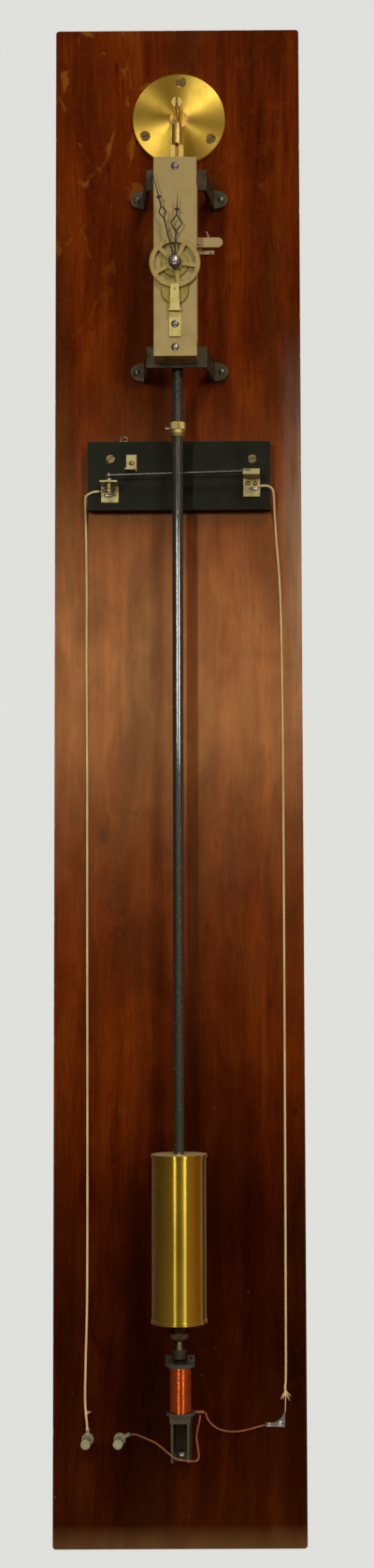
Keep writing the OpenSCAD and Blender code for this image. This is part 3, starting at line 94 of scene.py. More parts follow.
class Nodes:
    """Short ways to make and link the nodes of one tree."""

    def __init__(self, tree):
        self.tree = tree
        tree.nodes.clear()

    def node(self, kind, **settings):
        made = self.tree.nodes.new(kind)
        for key, value in settings.items():
            setattr(made, key, value)
        return made

    def feed(self, socket, value):
        """Link another node's output to a socket, or set the socket. Colours come without alpha."""
        if isinstance(value, bpy.types.NodeSocket):
            self.tree.links.new(value, socket)
        else:
            socket.default_value = (*value, 1) if socket.type == "RGBA" else value

    def math(self, operation, a, b=0.0):
        made = self.node("ShaderNodeMath", operation=operation)
        self.feed(made.inputs[0], a)
        self.feed(made.inputs[1], b)
        return made.outputs[0]

    def times(self, first, *others):
        for other in others:
            first = self.math("MULTIPLY", first, other)
        return first

    def mix(self, share, a, b, blend="MIX"):
        made = self.node("ShaderNodeMix", data_type="RGBA", blend_type=blend)
        for index, value in ((0, share), (6, a), (7, b)):
            self.feed(made.inputs[index], value)
        return made.outputs[2]

    def layered(self, color, *layers):
        """A colour with others over it, each given as its share and its colour."""
        for share, over in layers:
            color = self.mix(share, color, over)
        return color

    def ramp(self, value, stops):
        made = self.node("ShaderNodeValToRGB")
        elements = made.color_ramp.elements
        while len(elements) < len(stops):
            elements.new(0.5)
        for element, (position, color) in zip(elements, stops):
            element.position = position
            element.color = (*color, 1)
        self.feed(made.inputs[0], value)
        return made.outputs[0]


class Look(Nodes):
    """A material with one principled shader. Sockets are named with _ for each space."""

    def __init__(self, name, **values):
        self.name = name
        self.material = bpy.data.materials.new(name)
        self.material.use_nodes = True
        super().__init__(self.material.node_tree)
        self.shader = self.node("ShaderNodeBsdfPrincipled")
        self.feed(self.node("ShaderNodeOutputMaterial").inputs[0], self.shader.outputs[0])
        self.place = self.node("ShaderNodeTexCoord").outputs["Object"]
        self.set(**values)

    def set(self, **values):
        for key, value in values.items():
            self.feed(self.shader.inputs[key.replace("_", " ")], value)

    def vector(self, operation, a, b=(0, 0, 0)):
        made = self.node("ShaderNodeVectorMath", operation=operation)
        self.feed(made.inputs[0], a)
        self.feed(made.inputs[1], b)
        return made.outputs["Value" if operation in ("LENGTH", "DOT_PRODUCT") else "Vector"]

    def combined(self, x, y, z):
        made = self.node("ShaderNodeCombineXYZ")
        for socket, value in zip(made.inputs, (x, y, z)):
            self.feed(socket, value)
        return made.outputs[0]

    def axis(self, name):
        made = self.node("ShaderNodeSeparateXYZ")
        self.feed(made.inputs[0], self.place)
        return made.outputs[name]

    def span(self, value, low, high, to_low=0.0, to_high=1.0):
        """The value moved from low and high to to_low and to_high, and held between them."""
        made = self.node("ShaderNodeMapRange")
        for socket, v in zip(made.inputs, (value, low, high, to_low, to_high)):
            self.feed(socket, v)
        return made.outputs[0]

    def stretched(self, scale, source=None):
        made = self.node("ShaderNodeMapping")
        self.feed(made.inputs["Vector"], source or self.place)
        self.feed(made.inputs["Scale"], scale if isinstance(scale, tuple) else (scale,) * 3)
        return made.outputs[0]

    def noise(self, scale, detail=3.0, rough=0.5, distortion=0.0, source=None):
        """Noise from 0 to 1 whose features are 1/scale metres along each axis."""
        made = self.node("ShaderNodeTexNoise")
        self.feed(made.inputs["Vector"], self.stretched(scale, source))
        for key, value in (("Scale", 1), ("Detail", detail), ("Roughness", rough), ("Distortion", distortion)):
            self.feed(made.inputs[key], value)
        return made.outputs[0]

    def rounded(self, radius):
        """The normal, as if the edges had this radius."""
        made = self.node("ShaderNodeBevel", samples=4)
        self.feed(made.inputs["Radius"], radius)
        return made.outputs[0]

    def worn_edge(self, radius):
        """1 along the edges and 0 on the flats, by how well the rounded normal agrees with the true one."""
        normal = self.node("ShaderNodeNewGeometry").outputs["Normal"]
        return self.span(self.vector("DOT_PRODUCT", self.rounded(radius), normal), low=0.995, high=0.9)

    def bump(self, height, distance, strength, normal=None):
        """Relief from a height of 0 to 1 that stands for a distance in metres."""
        made = self.node("ShaderNodeBump")
        for key, value in (("Height", height), ("Distance", distance), ("Strength", strength)):
            self.feed(made.inputs[key], value)
        if normal:
            self.feed(made.inputs["Normal"], normal)
        self.set(Normal=made.outputs[0])

    def brushed(self, axis, amount, turn):
        """Highlights drawn out by fine lines round an axis."""
        tangent = self.node("ShaderNodeTangent", direction_type="RADIAL", axis=axis)
        self.set(Tangent=tangent.outputs[0], Anisotropic=amount, Anisotropic_Rotation=turn)


# The board's wood. Places and heights are in metres from the board's middle.

RED_WOOD = [(0.0, (0.050, 0.0050, 0.0003)), (0.30, (0.100, 0.0100, 0.0004)),
            (0.60, (0.165, 0.0200, 0.0008)), (1.0, (0.260, 0.0440, 0.0020))]
DARK_FIBRE = (0.030, 0.0060, 0.0007)
CROSS_GRAIN = (0.17, 0.045, 0.005)
BROWN_BAND = (0.070, 0.0220, 0.0042)
GOLDEN_WOOD = (0.27, 0.085, 0.005)
PORE = (0.018, 0.005, 0.001)
CRACK = (0.020, 0.006, 0.002)
KNOT = (0.016, 0.007, 0.003)
DARK_PATCH = (0.012, 0.0012, 0.0001)
PAINTED_EDGE_REFLECTION = (0.27, 0.17, 0.105)
CHIPPED = (0.60, 0.48, 0.36)
LIGHTER_FOOT = (0.125, 0.056, 0.017)
SPECK = (0.40, 0.27, 0.16)

# Places where the grain swirls round a knot: x, height and reach in mm, and darkness
KNOTS = [(-68.7, -57.8, 13.0, 0.75), (-62.7, -121.9, 20.0, 0.35), (-94.4, -42.4, 7.0, 0.6),
         (95.3, 427.0, 5.0, 0.7), (-72.5, -487.7, 16.0, 0.25), (-79.1, -577.4, 12.0, 0.2),
         (34.4, -68.5, 11.0, 0.3)]
KNOT_LENGTHWAYS = 0.45  # the share of a height that counts, so a knot is longer than it is wide
KNOT_PULL = 0.62  # the share of the way to the knot's middle by which the grain is drawn there
KNOT_CORE = 0.42  # the dark middle's share of the reach

# Painted shade: how bright the wood's colour is made from foot to head, darkest at the foot, standing in for the
# light that falls off towards it: share of the board's height, and factor
PAINTED_SHADE_BY_HEIGHT = [(0.0, 0.32), (0.12, 0.30), (0.214, 0.44), (0.274, 0.80), (0.334, 1.0), (0.394, 1.1), (0.52, 1.1),
        (0.70, 1.1), (0.80, 1.0), (1.0, 0.94)]
WANDER = 0.05  # how far the grain wanders sideways from end to end of its noise
NET_STRETCH = (21.0, 21.0, 13.0)  # cells of the golden net in a metre
NET_TORN = (0.045, 0.045, 0.06)  # how far noise pulls the net about
NET_LEVEL, NET_SIDE = (0.36, 0.60), (0.01, -0.05)  # the net grows over these heights, and towards the left
CRACK_LEVEL, CRACK_WIDTH = 0.42, 0.0050  # the noise's value along a crack, and how far it may be off
# A darker patch at the right of the rod in the lower half: its place, the share of a height that counts, and where
# it starts and is darkest
DARK_PATCH_PLACE = (0.028, 0.0, -0.37)
DARK_PATCH_LENGTHWAYS = 0.36
DARK_PATCH_EDGE, DARK_PATCH_CORE = 0.085, 0.02  # distances from its place
# A painted pale reflection along the right edge: x, then the heights where it rises and where it falls
REFLECTION_SIDE, REFLECTION_RISE, REFLECTION_FALL = (0.090, 0.112), (0.0, 0.15), (0.42, 0.25)  # x, and heights
# A lighter band along the foot: the height where it starts and the height where it is full
FOOT_TOP, FOOT_FULL = -0.669, -0.687
GLOSS_RISE, GLOSS_FALL = (-0.34, -0.03, 0.08, 0.58), (0.06, 0.40, 1.0, 0.10)  # heights, then gloss


def drawn_to_knots(look):
    """The place on the board, pulled towards each knot, and how dark the knots are there."""
    place, dark = look.place, 0.0
    for x, z, reach, depth in KNOTS:
        off = look.vector("SUBTRACT", place, (x * MM, 0.0, z * MM))
        near = look.vector("LENGTH", look.vector("MULTIPLY", off, (1.0, 0.0, KNOT_LENGTHWAYS)))
        pull = look.span(near, reach * MM, 0.0, 0.0, KNOT_PULL)
        place = look.vector("SUBTRACT", place, look.vector("MULTIPLY", off, look.combined(pull, pull, pull)))
        dark = look.math("MAXIMUM", dark, look.span(near, reach * KNOT_CORE * MM, 0.0, 0.0, depth))
    return place, dark


def golden_net(look):
    """Thin places in the varnish where the wood shows golden in a net of ribbons, most of all at the upper
    left. The share of gold."""
    torn = look.noise((26.0, 26.0, 14.0), 3.0, 0.6).node.outputs["Color"]
    torn = look.vector("MULTIPLY", look.vector("SUBTRACT", torn, (0.5, 0.5, 0.5)), NET_TORN)
    cells = look.node("ShaderNodeTexVoronoi", feature="DISTANCE_TO_EDGE")
    look.feed(cells.inputs["Scale"], 1.0)
    look.feed(cells.inputs["Vector"], look.stretched(NET_STRETCH, look.vector("ADD", look.place, torn)))
    width = look.span(look.noise((60.0, 60.0, 40.0)), 0.44, 0.68, 0.0, 0.10)
    ribbon = look.span(look.math("SUBTRACT", width, cells.outputs["Distance"]), 0.0, 0.06)
    upper = look.times(look.span(look.axis("Z"), *NET_LEVEL), look.span(look.axis("X"), *NET_SIDE, 0.12, 1.0))
    lower = look.span(look.noise((9.0, 9.0, 5.0)), 0.56, 0.66, 0.0, 0.30)
    return look.times(ribbon, look.math("MAXIMUM", upper, lower), 0.8)


def mahogany():
    look = Look("mahogany", IOR=1.8, Specular_Tint=(1.0, 0.50, 0.185))
    x, z = look.axis("X"), look.axis("Z")
    place, knot_dark = drawn_to_knots(look)
    wander = look.math("SUBTRACT", look.noise((6.0, 6.0, 2.2), source=place), 0.5)
    place = look.vector("ADD", place, look.combined(look.times(wander, WANDER), 0.0, 0.0))
    broad = look.noise((34.0, 34.0, 3.4), 4.0, 0.55, 0.3, place)
    bands = look.noise((120.0, 120.0, 7.0), 3.0, 0.6, 0.3, place)
    grain = look.noise((420.0, 420.0, 14.0), 3.0, 0.6, 0.1, place)
    fibre = look.noise((1300.0, 1300.0, 60.0), 2.0, 0.6, 0.0, place)
    cross = look.noise((260.0, 260.0, 620.0), 2.0, 0.5, 0.0, place)
    mottle = look.noise((30.0, 30.0, 13.0), 3.0, 0.6, 0.5, place)
    brown = look.noise((30.0, 30.0, 3.0), 2.0, 0.5, 0.3, look.vector("ADD", place, (3.0, 0.0, 1.0)))
    # short dark pores along the grain, in some regions, and long thin cracks
    pore = look.noise((560.0, 560.0, 42.0), 1.0, 0.4, 0.0, place)
    pored = look.span(look.noise((14.0, 14.0, 5.0), 2.0, source=place), 0.46, 0.58)
    crack = look.noise((34.0, 34.0, 3.6), 2.0, 0.4, 0.5, place)
    crack = look.math("ABSOLUTE", look.math("SUBTRACT", crack, CRACK_LEVEL))
    tone = 0.0
    for layer, weight in ((broad, 0.46), (bands, 0.16), (grain, 0.14), (mottle, 0.24)):
        tone = look.math("ADD", tone, look.times(layer, weight))
    color = look.layered(
        look.ramp(look.span(tone, 0.37, 0.64), RED_WOOD),
        (look.span(fibre, 0.38, 0.62, 0.0, 0.32), DARK_FIBRE),
        (look.span(cross, 0.45, 0.7, 0.0, 0.16), CROSS_GRAIN),
        (look.span(brown, 0.52, 0.68, 0.0, 0.42), BROWN_BAND),
        (golden_net(look), GOLDEN_WOOD),
        (look.times(look.span(pore, 0.70, 0.76, 0.0, 0.75), pored), PORE),
        (look.times(look.span(crack, 0.0, CRACK_WIDTH, 0.8, 0.0), look.span(bands, 0.48, 0.57)), CRACK),
        (knot_dark, KNOT))
    # painted shade: the colour darkened towards the foot and lifted above the middle, as the light falls
    painted_shade = look.ramp(look.span(z, -BOARD_HALF_H, BOARD_HALF_H), [(share, (value,) * 3) for share, value in PAINTED_SHADE_BY_HEIGHT])
    # a darker patch at the right of the rod in the lower half, a painted pale reflection along the right edge,
    # chips along the edges, a lighter band along the foot and light specks
    dark_patch = look.vector("MULTIPLY", look.vector("SUBTRACT", look.place, DARK_PATCH_PLACE), (1.0, 0.0, DARK_PATCH_LENGTHWAYS))
    painted_reflection = look.times(look.span(x, *REFLECTION_SIDE), look.span(z, *REFLECTION_RISE), look.span(z, *REFLECTION_FALL),
                        look.span(bands, 0.35, 0.6, 0.3, 1.0))
    color = look.layered(
        look.mix(1.0, color, painted_shade, "MULTIPLY"),
        (look.span(look.vector("LENGTH", dark_patch), DARK_PATCH_EDGE, DARK_PATCH_CORE, 0.0, 0.62), DARK_PATCH),
        (painted_reflection, PAINTED_EDGE_REFLECTION),
        (look.times(look.worn_edge(0.0010), look.span(look.noise((260, 260, 110), 2.0), 0.62, 0.66)), CHIPPED),
        (look.times(look.span(z, FOOT_TOP, FOOT_FULL), look.span(mottle, 0.30, 0.60, 0.6, 1.0)), LIGHTER_FOOT),
        (look.times(look.span(look.noise(430.0, 2.0), 0.775, 0.80), 0.4), SPECK))
    # the varnish is glossiest at the middle and dull towards the head and the foot
    gloss = look.times(look.span(z, *GLOSS_RISE), look.span(z, *GLOSS_FALL),
                       look.span(mottle, 0.35, 0.65, 0.80, 1.20))
    look.set(Base_Color=color, Roughness=look.span(bands, 0.3, 0.7, 0.38, 0.33), Specular_IOR_Level=gloss)
    look.brushed("Z", amount=0.88, turn=0.0)
    look.bump(look.math("ADD", fibre, look.times(bands, 2.0)), distance=0.00006, strength=0.35)
    return look


# The other materials

def metal(name, color, tarnish, rough, metallic=1.0, patch=45.0, patch_range=(0.42, 0.66), scratch=0.3,
          edge=0.00025, **values):
    """A metal with tarnish in patches and specks, fine scratches and slightly rounded edges. patch is the
    scale of the patches' noise, patch_range the span of it in which tarnish sets in, scratch the strength of
    the scratches and edge the edges' radius."""
    look = Look(name, Metallic=metallic, **values)
    patches = look.noise(patch, 4.0, 0.6)
    fine = look.noise(900.0, 2.0, 0.6)
    scratches = look.noise((2600.0, 300.0, 160.0), 2.0, 0.6, 0.4)
    look.patched = look.mix(look.span(patches, *patch_range), color, tarnish)
    look.set(Base_Color=look.mix(look.span(fine, 0.55, 0.8, 0.0, 0.25), look.patched, tarnish),
             Roughness=look.span(patches, 0.3, 0.7, rough * 0.85, rough * 1.2))
    look.bump(scratches, distance=0.00003, strength=scratch, normal=look.rounded(edge) if edge else None)
    return look


def dull(name, color, second, rough, **values):
    """A dielectric with two tones in patches, a fine bump and slightly rounded edges."""
    look = Look(name, **values)
    patches = look.noise(200.0, 4.0, 0.6)
    look.patched = look.mix(look.span(patches, 0.35, 0.65), color, second)
    look.set(Base_Color=look.patched, Roughness=look.span(patches, 0.3, 0.7, rough * 0.9, rough * 1.15))
    look.bump(look.noise(900.0, 3.0, 0.6), distance=0.00008, strength=0.3, normal=look.rounded(0.0003))
    return look


def cotton(name, color, second, dark, sheen):
    """Cotton insulation: two tones, and fine threads that wind round the wire."""
    look = Look(name, Sheen_Weight=sheen, Sheen_Roughness=0.5)
    tones = look.noise((300.0, 300.0, 40.0))
    patches = look.noise((300.0, 300.0, 90.0), 4.0, 0.6)
    thread = look.noise((2600.0, 2600.0, 1500.0), 2.0, 0.5)
    look.set(Base_Color=look.layered(color, (look.span(tones, 0.35, 0.65), second),
                                     (look.span(thread, 0.5, 0.75, 0.0, 0.5), dark)),
             Roughness=look.span(patches, 0.3, 0.7, 0.738, 0.943))
    look.bump(thread, distance=0.00015, strength=0.6)
    return look


def disc_brass():
    look = metal("disc_brass", (0.80, 0.53, 0.080), (0.68, 0.435, 0.062), 0.46, patch=30.0, edge=0.0)
    look.brushed("Y", amount=0.90, turn=0.25)
    return look


def bob_brass():
    """Brass with rings from the lathe instead of scratches."""
    look = metal("bob_brass", (0.86, 0.61, 0.066), (0.66, 0.41, 0.036), 0.24, patch=(40.0, 40.0, 14.0),
                 patch_range=(0.45, 0.8), edge=0.0, Sheen_Weight=0.8, Sheen_Roughness=0.3,
                 Sheen_Tint=(1.0, 0.75, 0.35))
    look.bump(look.noise((1.0, 1.0, 1800.0), 2.0, 0.6), distance=0.00001, strength=0.15)
    look.brushed("Z", amount=0.91, turn=0.25)
    return look


def black_paint():
    """Glossy paint with drips down the rod and small chips."""
    look = Look("black_paint", IOR=1.5, Specular_IOR_Level=0.5, Coat_Weight=1.0, Coat_Roughness=0.06,
                Coat_IOR=2.0, Coat_Tint=(0.95, 1.0, 0.90))
    drips = look.noise((500.0, 500.0, 60.0), 3.0, 0.6)
    chips = look.span(look.noise((900.0, 900.0, 260.0), 2.0, 0.6), 0.68, 0.73)
    look.set(Base_Color=look.mix(chips, (0.022, 0.0215, 0.017), (0.25, 0.24, 0.20)),
             Roughness=look.span(drips, 0.3, 0.7, 0.23, 0.28))
    look.brushed("Z", amount=0.9, turn=0.25)
    look.bump(drips, distance=0.00005, strength=0.10)
    return look


def ebonite():
    """Black board with clouds, scratches along it and greyed edges."""
    look = Look("ebonite", Specular_IOR_Level=0.14, Specular_Tint=(1.0, 1.0, 0.65))
    cloud = look.noise(30.0, 4.0, 0.6)
    scratch = look.noise((90.0, 90.0, 1800.0), 3.0, 0.6, 0.8)
    edge = look.times(look.worn_edge(0.0006), look.span(look.noise(200.0), 0.45, 0.6, 0.1, 0.6))
    look.set(Base_Color=look.layered((0.0055, 0.0057, 0.0036),
                                     (look.span(cloud, 0.4, 0.7), (0.0120, 0.0122, 0.0085)),
                                     (look.span(scratch, 0.64, 0.74, 0.0, 0.3), (0.05, 0.05, 0.04)),
                                     (edge, (0.22, 0.22, 0.19))),
             Roughness=look.span(cloud, 0.3, 0.7, 0.32, 0.5))
    look.bump(scratch, distance=0.00003, strength=0.3, normal=look.rounded(0.0005))
    return look


SLEEVE_X = (0.0152, 0.0156)  # where the bobbin's cheeks end and its sleeve begins
# heights below which a screw head's colour is a painted glint
PAINTED_GLINT_Z = (-0.45, -0.50)  # between the brackets' screws and the magnet's


def fibre():
    """Grey cheeks, with a brown sleeve for the leads at the right."""
    look = dull("fibre", (0.066, 0.060, 0.038), (0.045, 0.040, 0.024), 0.7, Specular_IOR_Level=0.3)
    look.set(Base_Color=look.mix(look.span(look.axis("X"), *SLEEVE_X), look.patched, (0.27, 0.085, 0.014)))
    return look


def screw_steel():
    """Rusty round heads on the brackets, and a light one on the magnet's channel whose colour is a painted glint.
    """
    look = metal("screw_steel", (0.30, 0.27, 0.22), (0.16, 0.13, 0.10), 0.42, patch=300.0)
    # painted glint: the magnet's screw head made light
    look.set(Base_Color=look.mix(look.span(look.axis("Z"), *PAINTED_GLINT_Z), look.patched, (0.78, 0.74, 0.62)))
    return look


# Plain metals: colour, tarnish, roughness, and what else metal() is told
METALS = {
    "plate_brass": ((0.42, 0.310, 0.128), (0.355, 0.255, 0.100), 0.50, {"patch": 55.0, "patch_range": (0.3, 0.8)}),
    "bright_brass": ((0.78, 0.62, 0.28), (0.60, 0.42, 0.16), 0.28, {"patch": 90.0}),
    "gear_brass": ((0.48, 0.355, 0.125), (0.35, 0.235, 0.068), 0.40, {"patch": 110.0}),
    "spring_steel": ((0.28, 0.31, 0.38), (0.22, 0.22, 0.26), 0.30, {}),
    "steel": ((0.56, 0.56, 0.56), (0.34, 0.32, 0.29), 0.30, {"patch": 300.0}),
    "dark_iron": ((0.088, 0.070, 0.036), (0.050, 0.038, 0.018), 0.48, {"metallic": 0.75, "patch": 130.0}),
    "hand_black": ((0.035, 0.035, 0.035), (0.02, 0.018, 0.015), 0.40, {"metallic": 0.5, "edge": 0.0}),
    "contact_brass": ((0.44, 0.37, 0.160), (0.34, 0.26, 0.105), 0.45, {"patch": 160.0}),
    "copper_wire": ((0.54, 0.092, 0.010), (0.46, 0.072, 0.008), 0.21,
                    {"patch": 60.0, "scratch": 0.0, "edge": 0.0, "Coat_Weight": 0.15, "Coat_Roughness": 0.2}),
    "terminal_metal": ((0.52, 0.49, 0.27), (0.36, 0.32, 0.17), 0.5, {"metallic": 0.7, "patch": 260.0}),
    "solder": ((0.62, 0.62, 0.58), (0.34, 0.33, 0.29), 0.32, {"patch": 500.0, "scratch": 0.6}),
    # pieces whose metal differs from that of their slot
    "stud_brass": ((0.86, 0.60, 0.18), (0.68, 0.44, 0.11), 0.42, {"patch": 90.0}),
    "wheel_brass": ((0.37, 0.29, 0.070), (0.27, 0.20, 0.045), 0.42, {"patch": 110.0}),
    "nickel": ((0.86, 0.80, 0.71), (0.60, 0.50, 0.42), 0.34, {"patch": 300.0}),
    "pale_brass": ((0.63, 0.53, 0.185), (0.50, 0.40, 0.125), 0.48, {"patch": 90.0}),
    "dull_brass": ((0.135, 0.098, 0.038), (0.085, 0.062, 0.025), 0.36, {"patch": 160.0}),
    "old_brass": ((0.25, 0.185, 0.078), (0.155, 0.110, 0.045), 0.36, {"patch": 160.0}),
    "black_steel": ((0.11, 0.09, 0.07), (0.06, 0.045, 0.035), 0.26, {"patch": 200.0}),
    "core_iron": ((0.018, 0.016, 0.012), (0.012, 0.010, 0.008), 0.6, {"metallic": 0.6}),
    "channel_iron": ((0.118, 0.092, 0.045), (0.075, 0.058, 0.026), 0.48, {"metallic": 0.6, "patch": 130.0}),
}
OWN_METAL = {
    "suspension_stud": "stud_brass", "pendulum_head": "stud_brass", "minute_cock": "pale_brass",
    "rod_collar": "pale_brass", "countersunk_screws": "old_brass", "rating_nut": "old_brass",
    "armature_ferrule": "dull_brass", "bob_nut": "black_steel", "magnet_core": "core_iron",
    "magnet_bracket": "channel_iron", "minute_wheel": "wheel_brass", "cannon_wheel": "wheel_brass",
    "hand_nut": "nickel"}


def make_looks():
    made = [mahogany(), disc_brass(), bob_brass(), black_paint(), ebonite(), fibre(), screw_steel(),
            dull("filling", (0.30, 0.31, 0.33), (0.2, 0.2, 0.22), 0.6),
            cotton("cream_insulation", (0.845, 0.580, 0.248), (0.691, 0.439, 0.176), (0.360, 0.207, 0.084), 0.3),
            cotton("brown_insulation", (0.34, 0.098, 0.014), (0.23, 0.060, 0.010), (0.08, 0.020, 0.004), 0.04)]
    made += [metal(name, color, tarnish, rough, **more) for name, (color, tarnish, rough, more) in METALS.items()]
    return {look.name: look.material for look in made}


looks = make_looks()
slot_of = {row["node"]: row["material_slot"] for row in frame["record"]["subparts"]}
for name, thing in frame["nodes"].items():
    for place in thing.material_slots:
        place.link = "OBJECT"
        place.material = looks[OWN_METAL.get(name, slot_of[name])]


# Mesh helpers

def new_object(name, bm, material):
    bmesh.ops.recalc_face_normals(bm, faces=bm.faces)
    mesh = bpy.data.meshes.new(name)
    bm.to_mesh(mesh)
    bm.free()
    mesh.materials.append(material)
    made = bpy.data.objects.new(name, mesh)
    scene.collection.objects.link(made)
    return made


def new_piece(name, bm, slot):
    """A piece of the board's body, in the look of its slot."""
    piece = new_object(name, bm, looks[slot])
    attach(piece, "board")
    return piece


def smooth_path(points, steps):
    """Points on a Catmull-Rom curve through the given ones."""
    out = []
    last = len(points) - 1
    for i in range(last):
        a, b, c, d = (points[max(0, min(last, k))] for k in (i - 1, i, i + 1, i + 2))
        for s in range(steps):
            t = s / steps
            out.append(0.5 * (2 * b + (c - a) * t + (2 * a - 5 * b + 4 * c - d) * t * t
                              + (3 * b - a - 3 * c + d) * t ** 3))
    out.append(points[last])
    return out


def path_length(path):
    return sum((b - a).length for a, b in zip(path, path[1:]))


def add_tube(bm, path, radius, sides):
    """A round tube along a path. radius is one number, or a function of the share of its length."""
    total = path_length(path)
    done = 0.0
    side = (path[1] - path[0]).normalized().orthogonal().normalized()
    rings = []
    for i, p in enumerate(path):
        along = (path[min(i + 1, len(path) - 1)] - path[max(i - 1, 0)]).normalized()
        side = (side - along * side.dot(along)).normalized()
        over = along.cross(side)
        if i:
            done += (p - path[i - 1]).length
        r = radius(done / total) if callable(radius) else radius
        rings.append([bm.verts.new(p + r * (math.cos(a) * side + math.sin(a) * over))
                      for a in (2 * math.pi * k / sides for k in range(sides))])
    for one, two in zip(rings, rings[1:]):
        for k in range(sides):
            bm.faces.new((one[k], one[(k + 1) % sides], two[(k + 1) % sides], two[k]))
    for ring, turned in ((rings[0], True), (rings[-1], False)):
        middle = bm.verts.new(sum((v.co for v in ring), Vector()) / sides)
        for k in range(sides):
            one, two = ring[k], ring[(k + 1) % sides]
            bm.faces.new((two, one, middle) if turned else (one, two, middle))
    for face in bm.faces:
        face.smooth = True


# Cords, on the routes of the part's source: x, depth and height in mm

LEFT_WIRE = [
    (-62, 15.9, 248.5), (-66, 16.3, 251.5), (-72, 16.2, 252.5), (-78, 15.6, 251.5), (-83, 13.6, 248.5),
    (-84, 10, 243), (-84.2, 6, 236), (-84.2, 2.6, 227), (-84, 1.3, 212), (-83.5, 1.2, 160), (-83.5, 1.2, 100),
    (-82.8, 1.2, 0), (-82.6, 1.2, -150), (-82.2, 1.2, -300), (-82.2, 1.2, -460), (-83.4, 1.2, -525),
    (-83.9, 1.3, -555), (-83.3, 2, -570), (-82, 4.1, -580), (-81.7, 4.6, -586)]
RIGHT_WIRE = [
    (67.5, 16.1, 254), (72, 16.4, 256), (78, 16.2, 257), (83, 15.4, 256.5), (86.6, 13.4, 253.5), (87.4, 10, 247),
    (87.8, 6, 239), (88.3, 2.6, 229), (89.3, 1.3, 212), (92.8, 1.2, 156), (94.2, 1.2, 60), (94.5, 1.2, -65),
    (94.5, 1.2, -250), (94.3, 1.2, -400), (94, 1.2, -530), (93.3, 1.2, -549), (93.6, 1.3, -560),
    (93.2, 2.4, -571)]
RIGHT_LEAD = [
    (24.2, 34, -565), (24.6, 33.8, -567.4), (25.6, 33.2, -570.2), (27.4, 32, -573.2), (29.8, 30.4, -576.2),
    (33, 28.4, -579), (37, 26, -581.3), (41.4, 23.2, -583), (46.2, 20, -584.2), (51.2, 16.6, -584.8),
    (56.4, 13, -584.8), (61.6, 9.4, -584.4), (66.6, 6.2, -583.8), (71.2, 4, -583), (75.4, 3, -582.2)]
LEFT_LEAD = [
    (19.2, 34, -567.2), (18.6, 35.5, -572), (17, 39, -579), (16.4, 43, -585), (17.8, 48, -592),
    (18.7, 52.6, -598), (17.6, 55, -600.8), (14, 56, -601.6), (8.8, 56.2, -601.2), (2, 56, -600.2),
    (-3.5, 54.4, -598.2), (-11, 45, -594.4), (-19, 35, -590.8), (-25.5, 28, -589.4), (-36, 15, -588.2),
    (-42, 7.6, -588.8), (-44.5, 5, -590.6)]
WIRE_D = 2.0
LEAD_D = 1.5
BARE_R = 0.42  # the copper's radius


def make_cord(node, route, diameter, slot, bare_from=0.0, bare_to=1.0):
    """A wire along a route. It is bare before the share bare_from of its length and after bare_to."""
    path = smooth_path([at(*p) for p in route], steps=8)

    def radius(share):
        return BARE_R * MM if share < bare_from or share > bare_to else diameter / 2 * MM

    bm = bmesh.new()
    add_tube(bm, path, radius, sides=12)
    cord = new_piece(node + "_cord", bm, slot)
    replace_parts(cord, node)


make_cord("left_wire", LEFT_WIRE, WIRE_D, "cream_insulation", bare_from=0.012)
make_cord("right_wire", RIGHT_WIRE, WIRE_D, "cream_insulation", bare_from=0.010, bare_to=0.985)
make_cord("left_lead", LEFT_LEAD, LEAD_D, "brown_insulation")
make_cord("right_lead", RIGHT_LEAD, LEAD_D, "brown_insulation")


# The winding: one fine wire in close turns from cheek to cheek, in mm

MAGNET_X, MAGNET_DEPTH = 2.5, 40.0
WINDING_LOW, WINDING_HIGH = -563.0, -524.2
WINDING_R, WINDING_BORE_R = 10.95, 6.0
TURNS, ROWS_PER_TURN, AROUND = 92, 6, 56
TURN_D = (WINDING_HIGH - WINDING_LOW) / TURNS
GROOVE = 0.92  # how deep the grooves between the turns are, from 0 to 1


def make_winding():
    """The outer layer of the wire: a screw-shaped row of round ridges on a tube."""
    bm = bmesh.new()

    def vert(k, r, z):
        a = 2 * math.pi * k / AROUND
        return bm.verts.new(at(MAGNET_X + r * math.cos(a), MAGNET_DEPTH - r * math.sin(a), z))

    def ridge(i, k):
        share = (i / ROWS_PER_TURN - k / AROUND) % 1.0
        return WINDING_R - TURN_D / 4 + 0.5 * math.sqrt(0.25 - GROOVE * (share - 0.5) ** 2) * TURN_D

    rows = TURNS * ROWS_PER_TURN
    heights = [WINDING_LOW + (WINDING_HIGH - WINDING_LOW) * i / rows for i in range(rows + 1)]
    rings = [[vert(k, ridge(i, k), z) for k in range(AROUND)] for i, z in enumerate(heights)]
    rings += [[vert(k, WINDING_BORE_R, z) for k in range(AROUND)] for z in (WINDING_HIGH, WINDING_LOW)]
    for one, two in zip(rings, rings[1:] + rings[:1]):
        for k in range(AROUND):
            bm.faces.new((one[k], one[(k + 1) % AROUND], two[(k + 1) % AROUND], two[k])).smooth = True
    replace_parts(new_piece("winding_turns", bm, "copper_wire"), "winding")


make_winding()


# Small pieces that the part's source leaves out. Places and sizes are in mm.

LARGE_DENT, SMALL_DENT = (0.30, 1.4), (0.12, 4.0)  # a dent's share of the lump's size, and its noise's scale
SEED_SHIFT = Vector((3.1, 1.7, 2.3))  # how far one seed's noise lies from the next one's
CURL, TAPER = 0.22, 0.7  # the shares of a thread's length and thickness


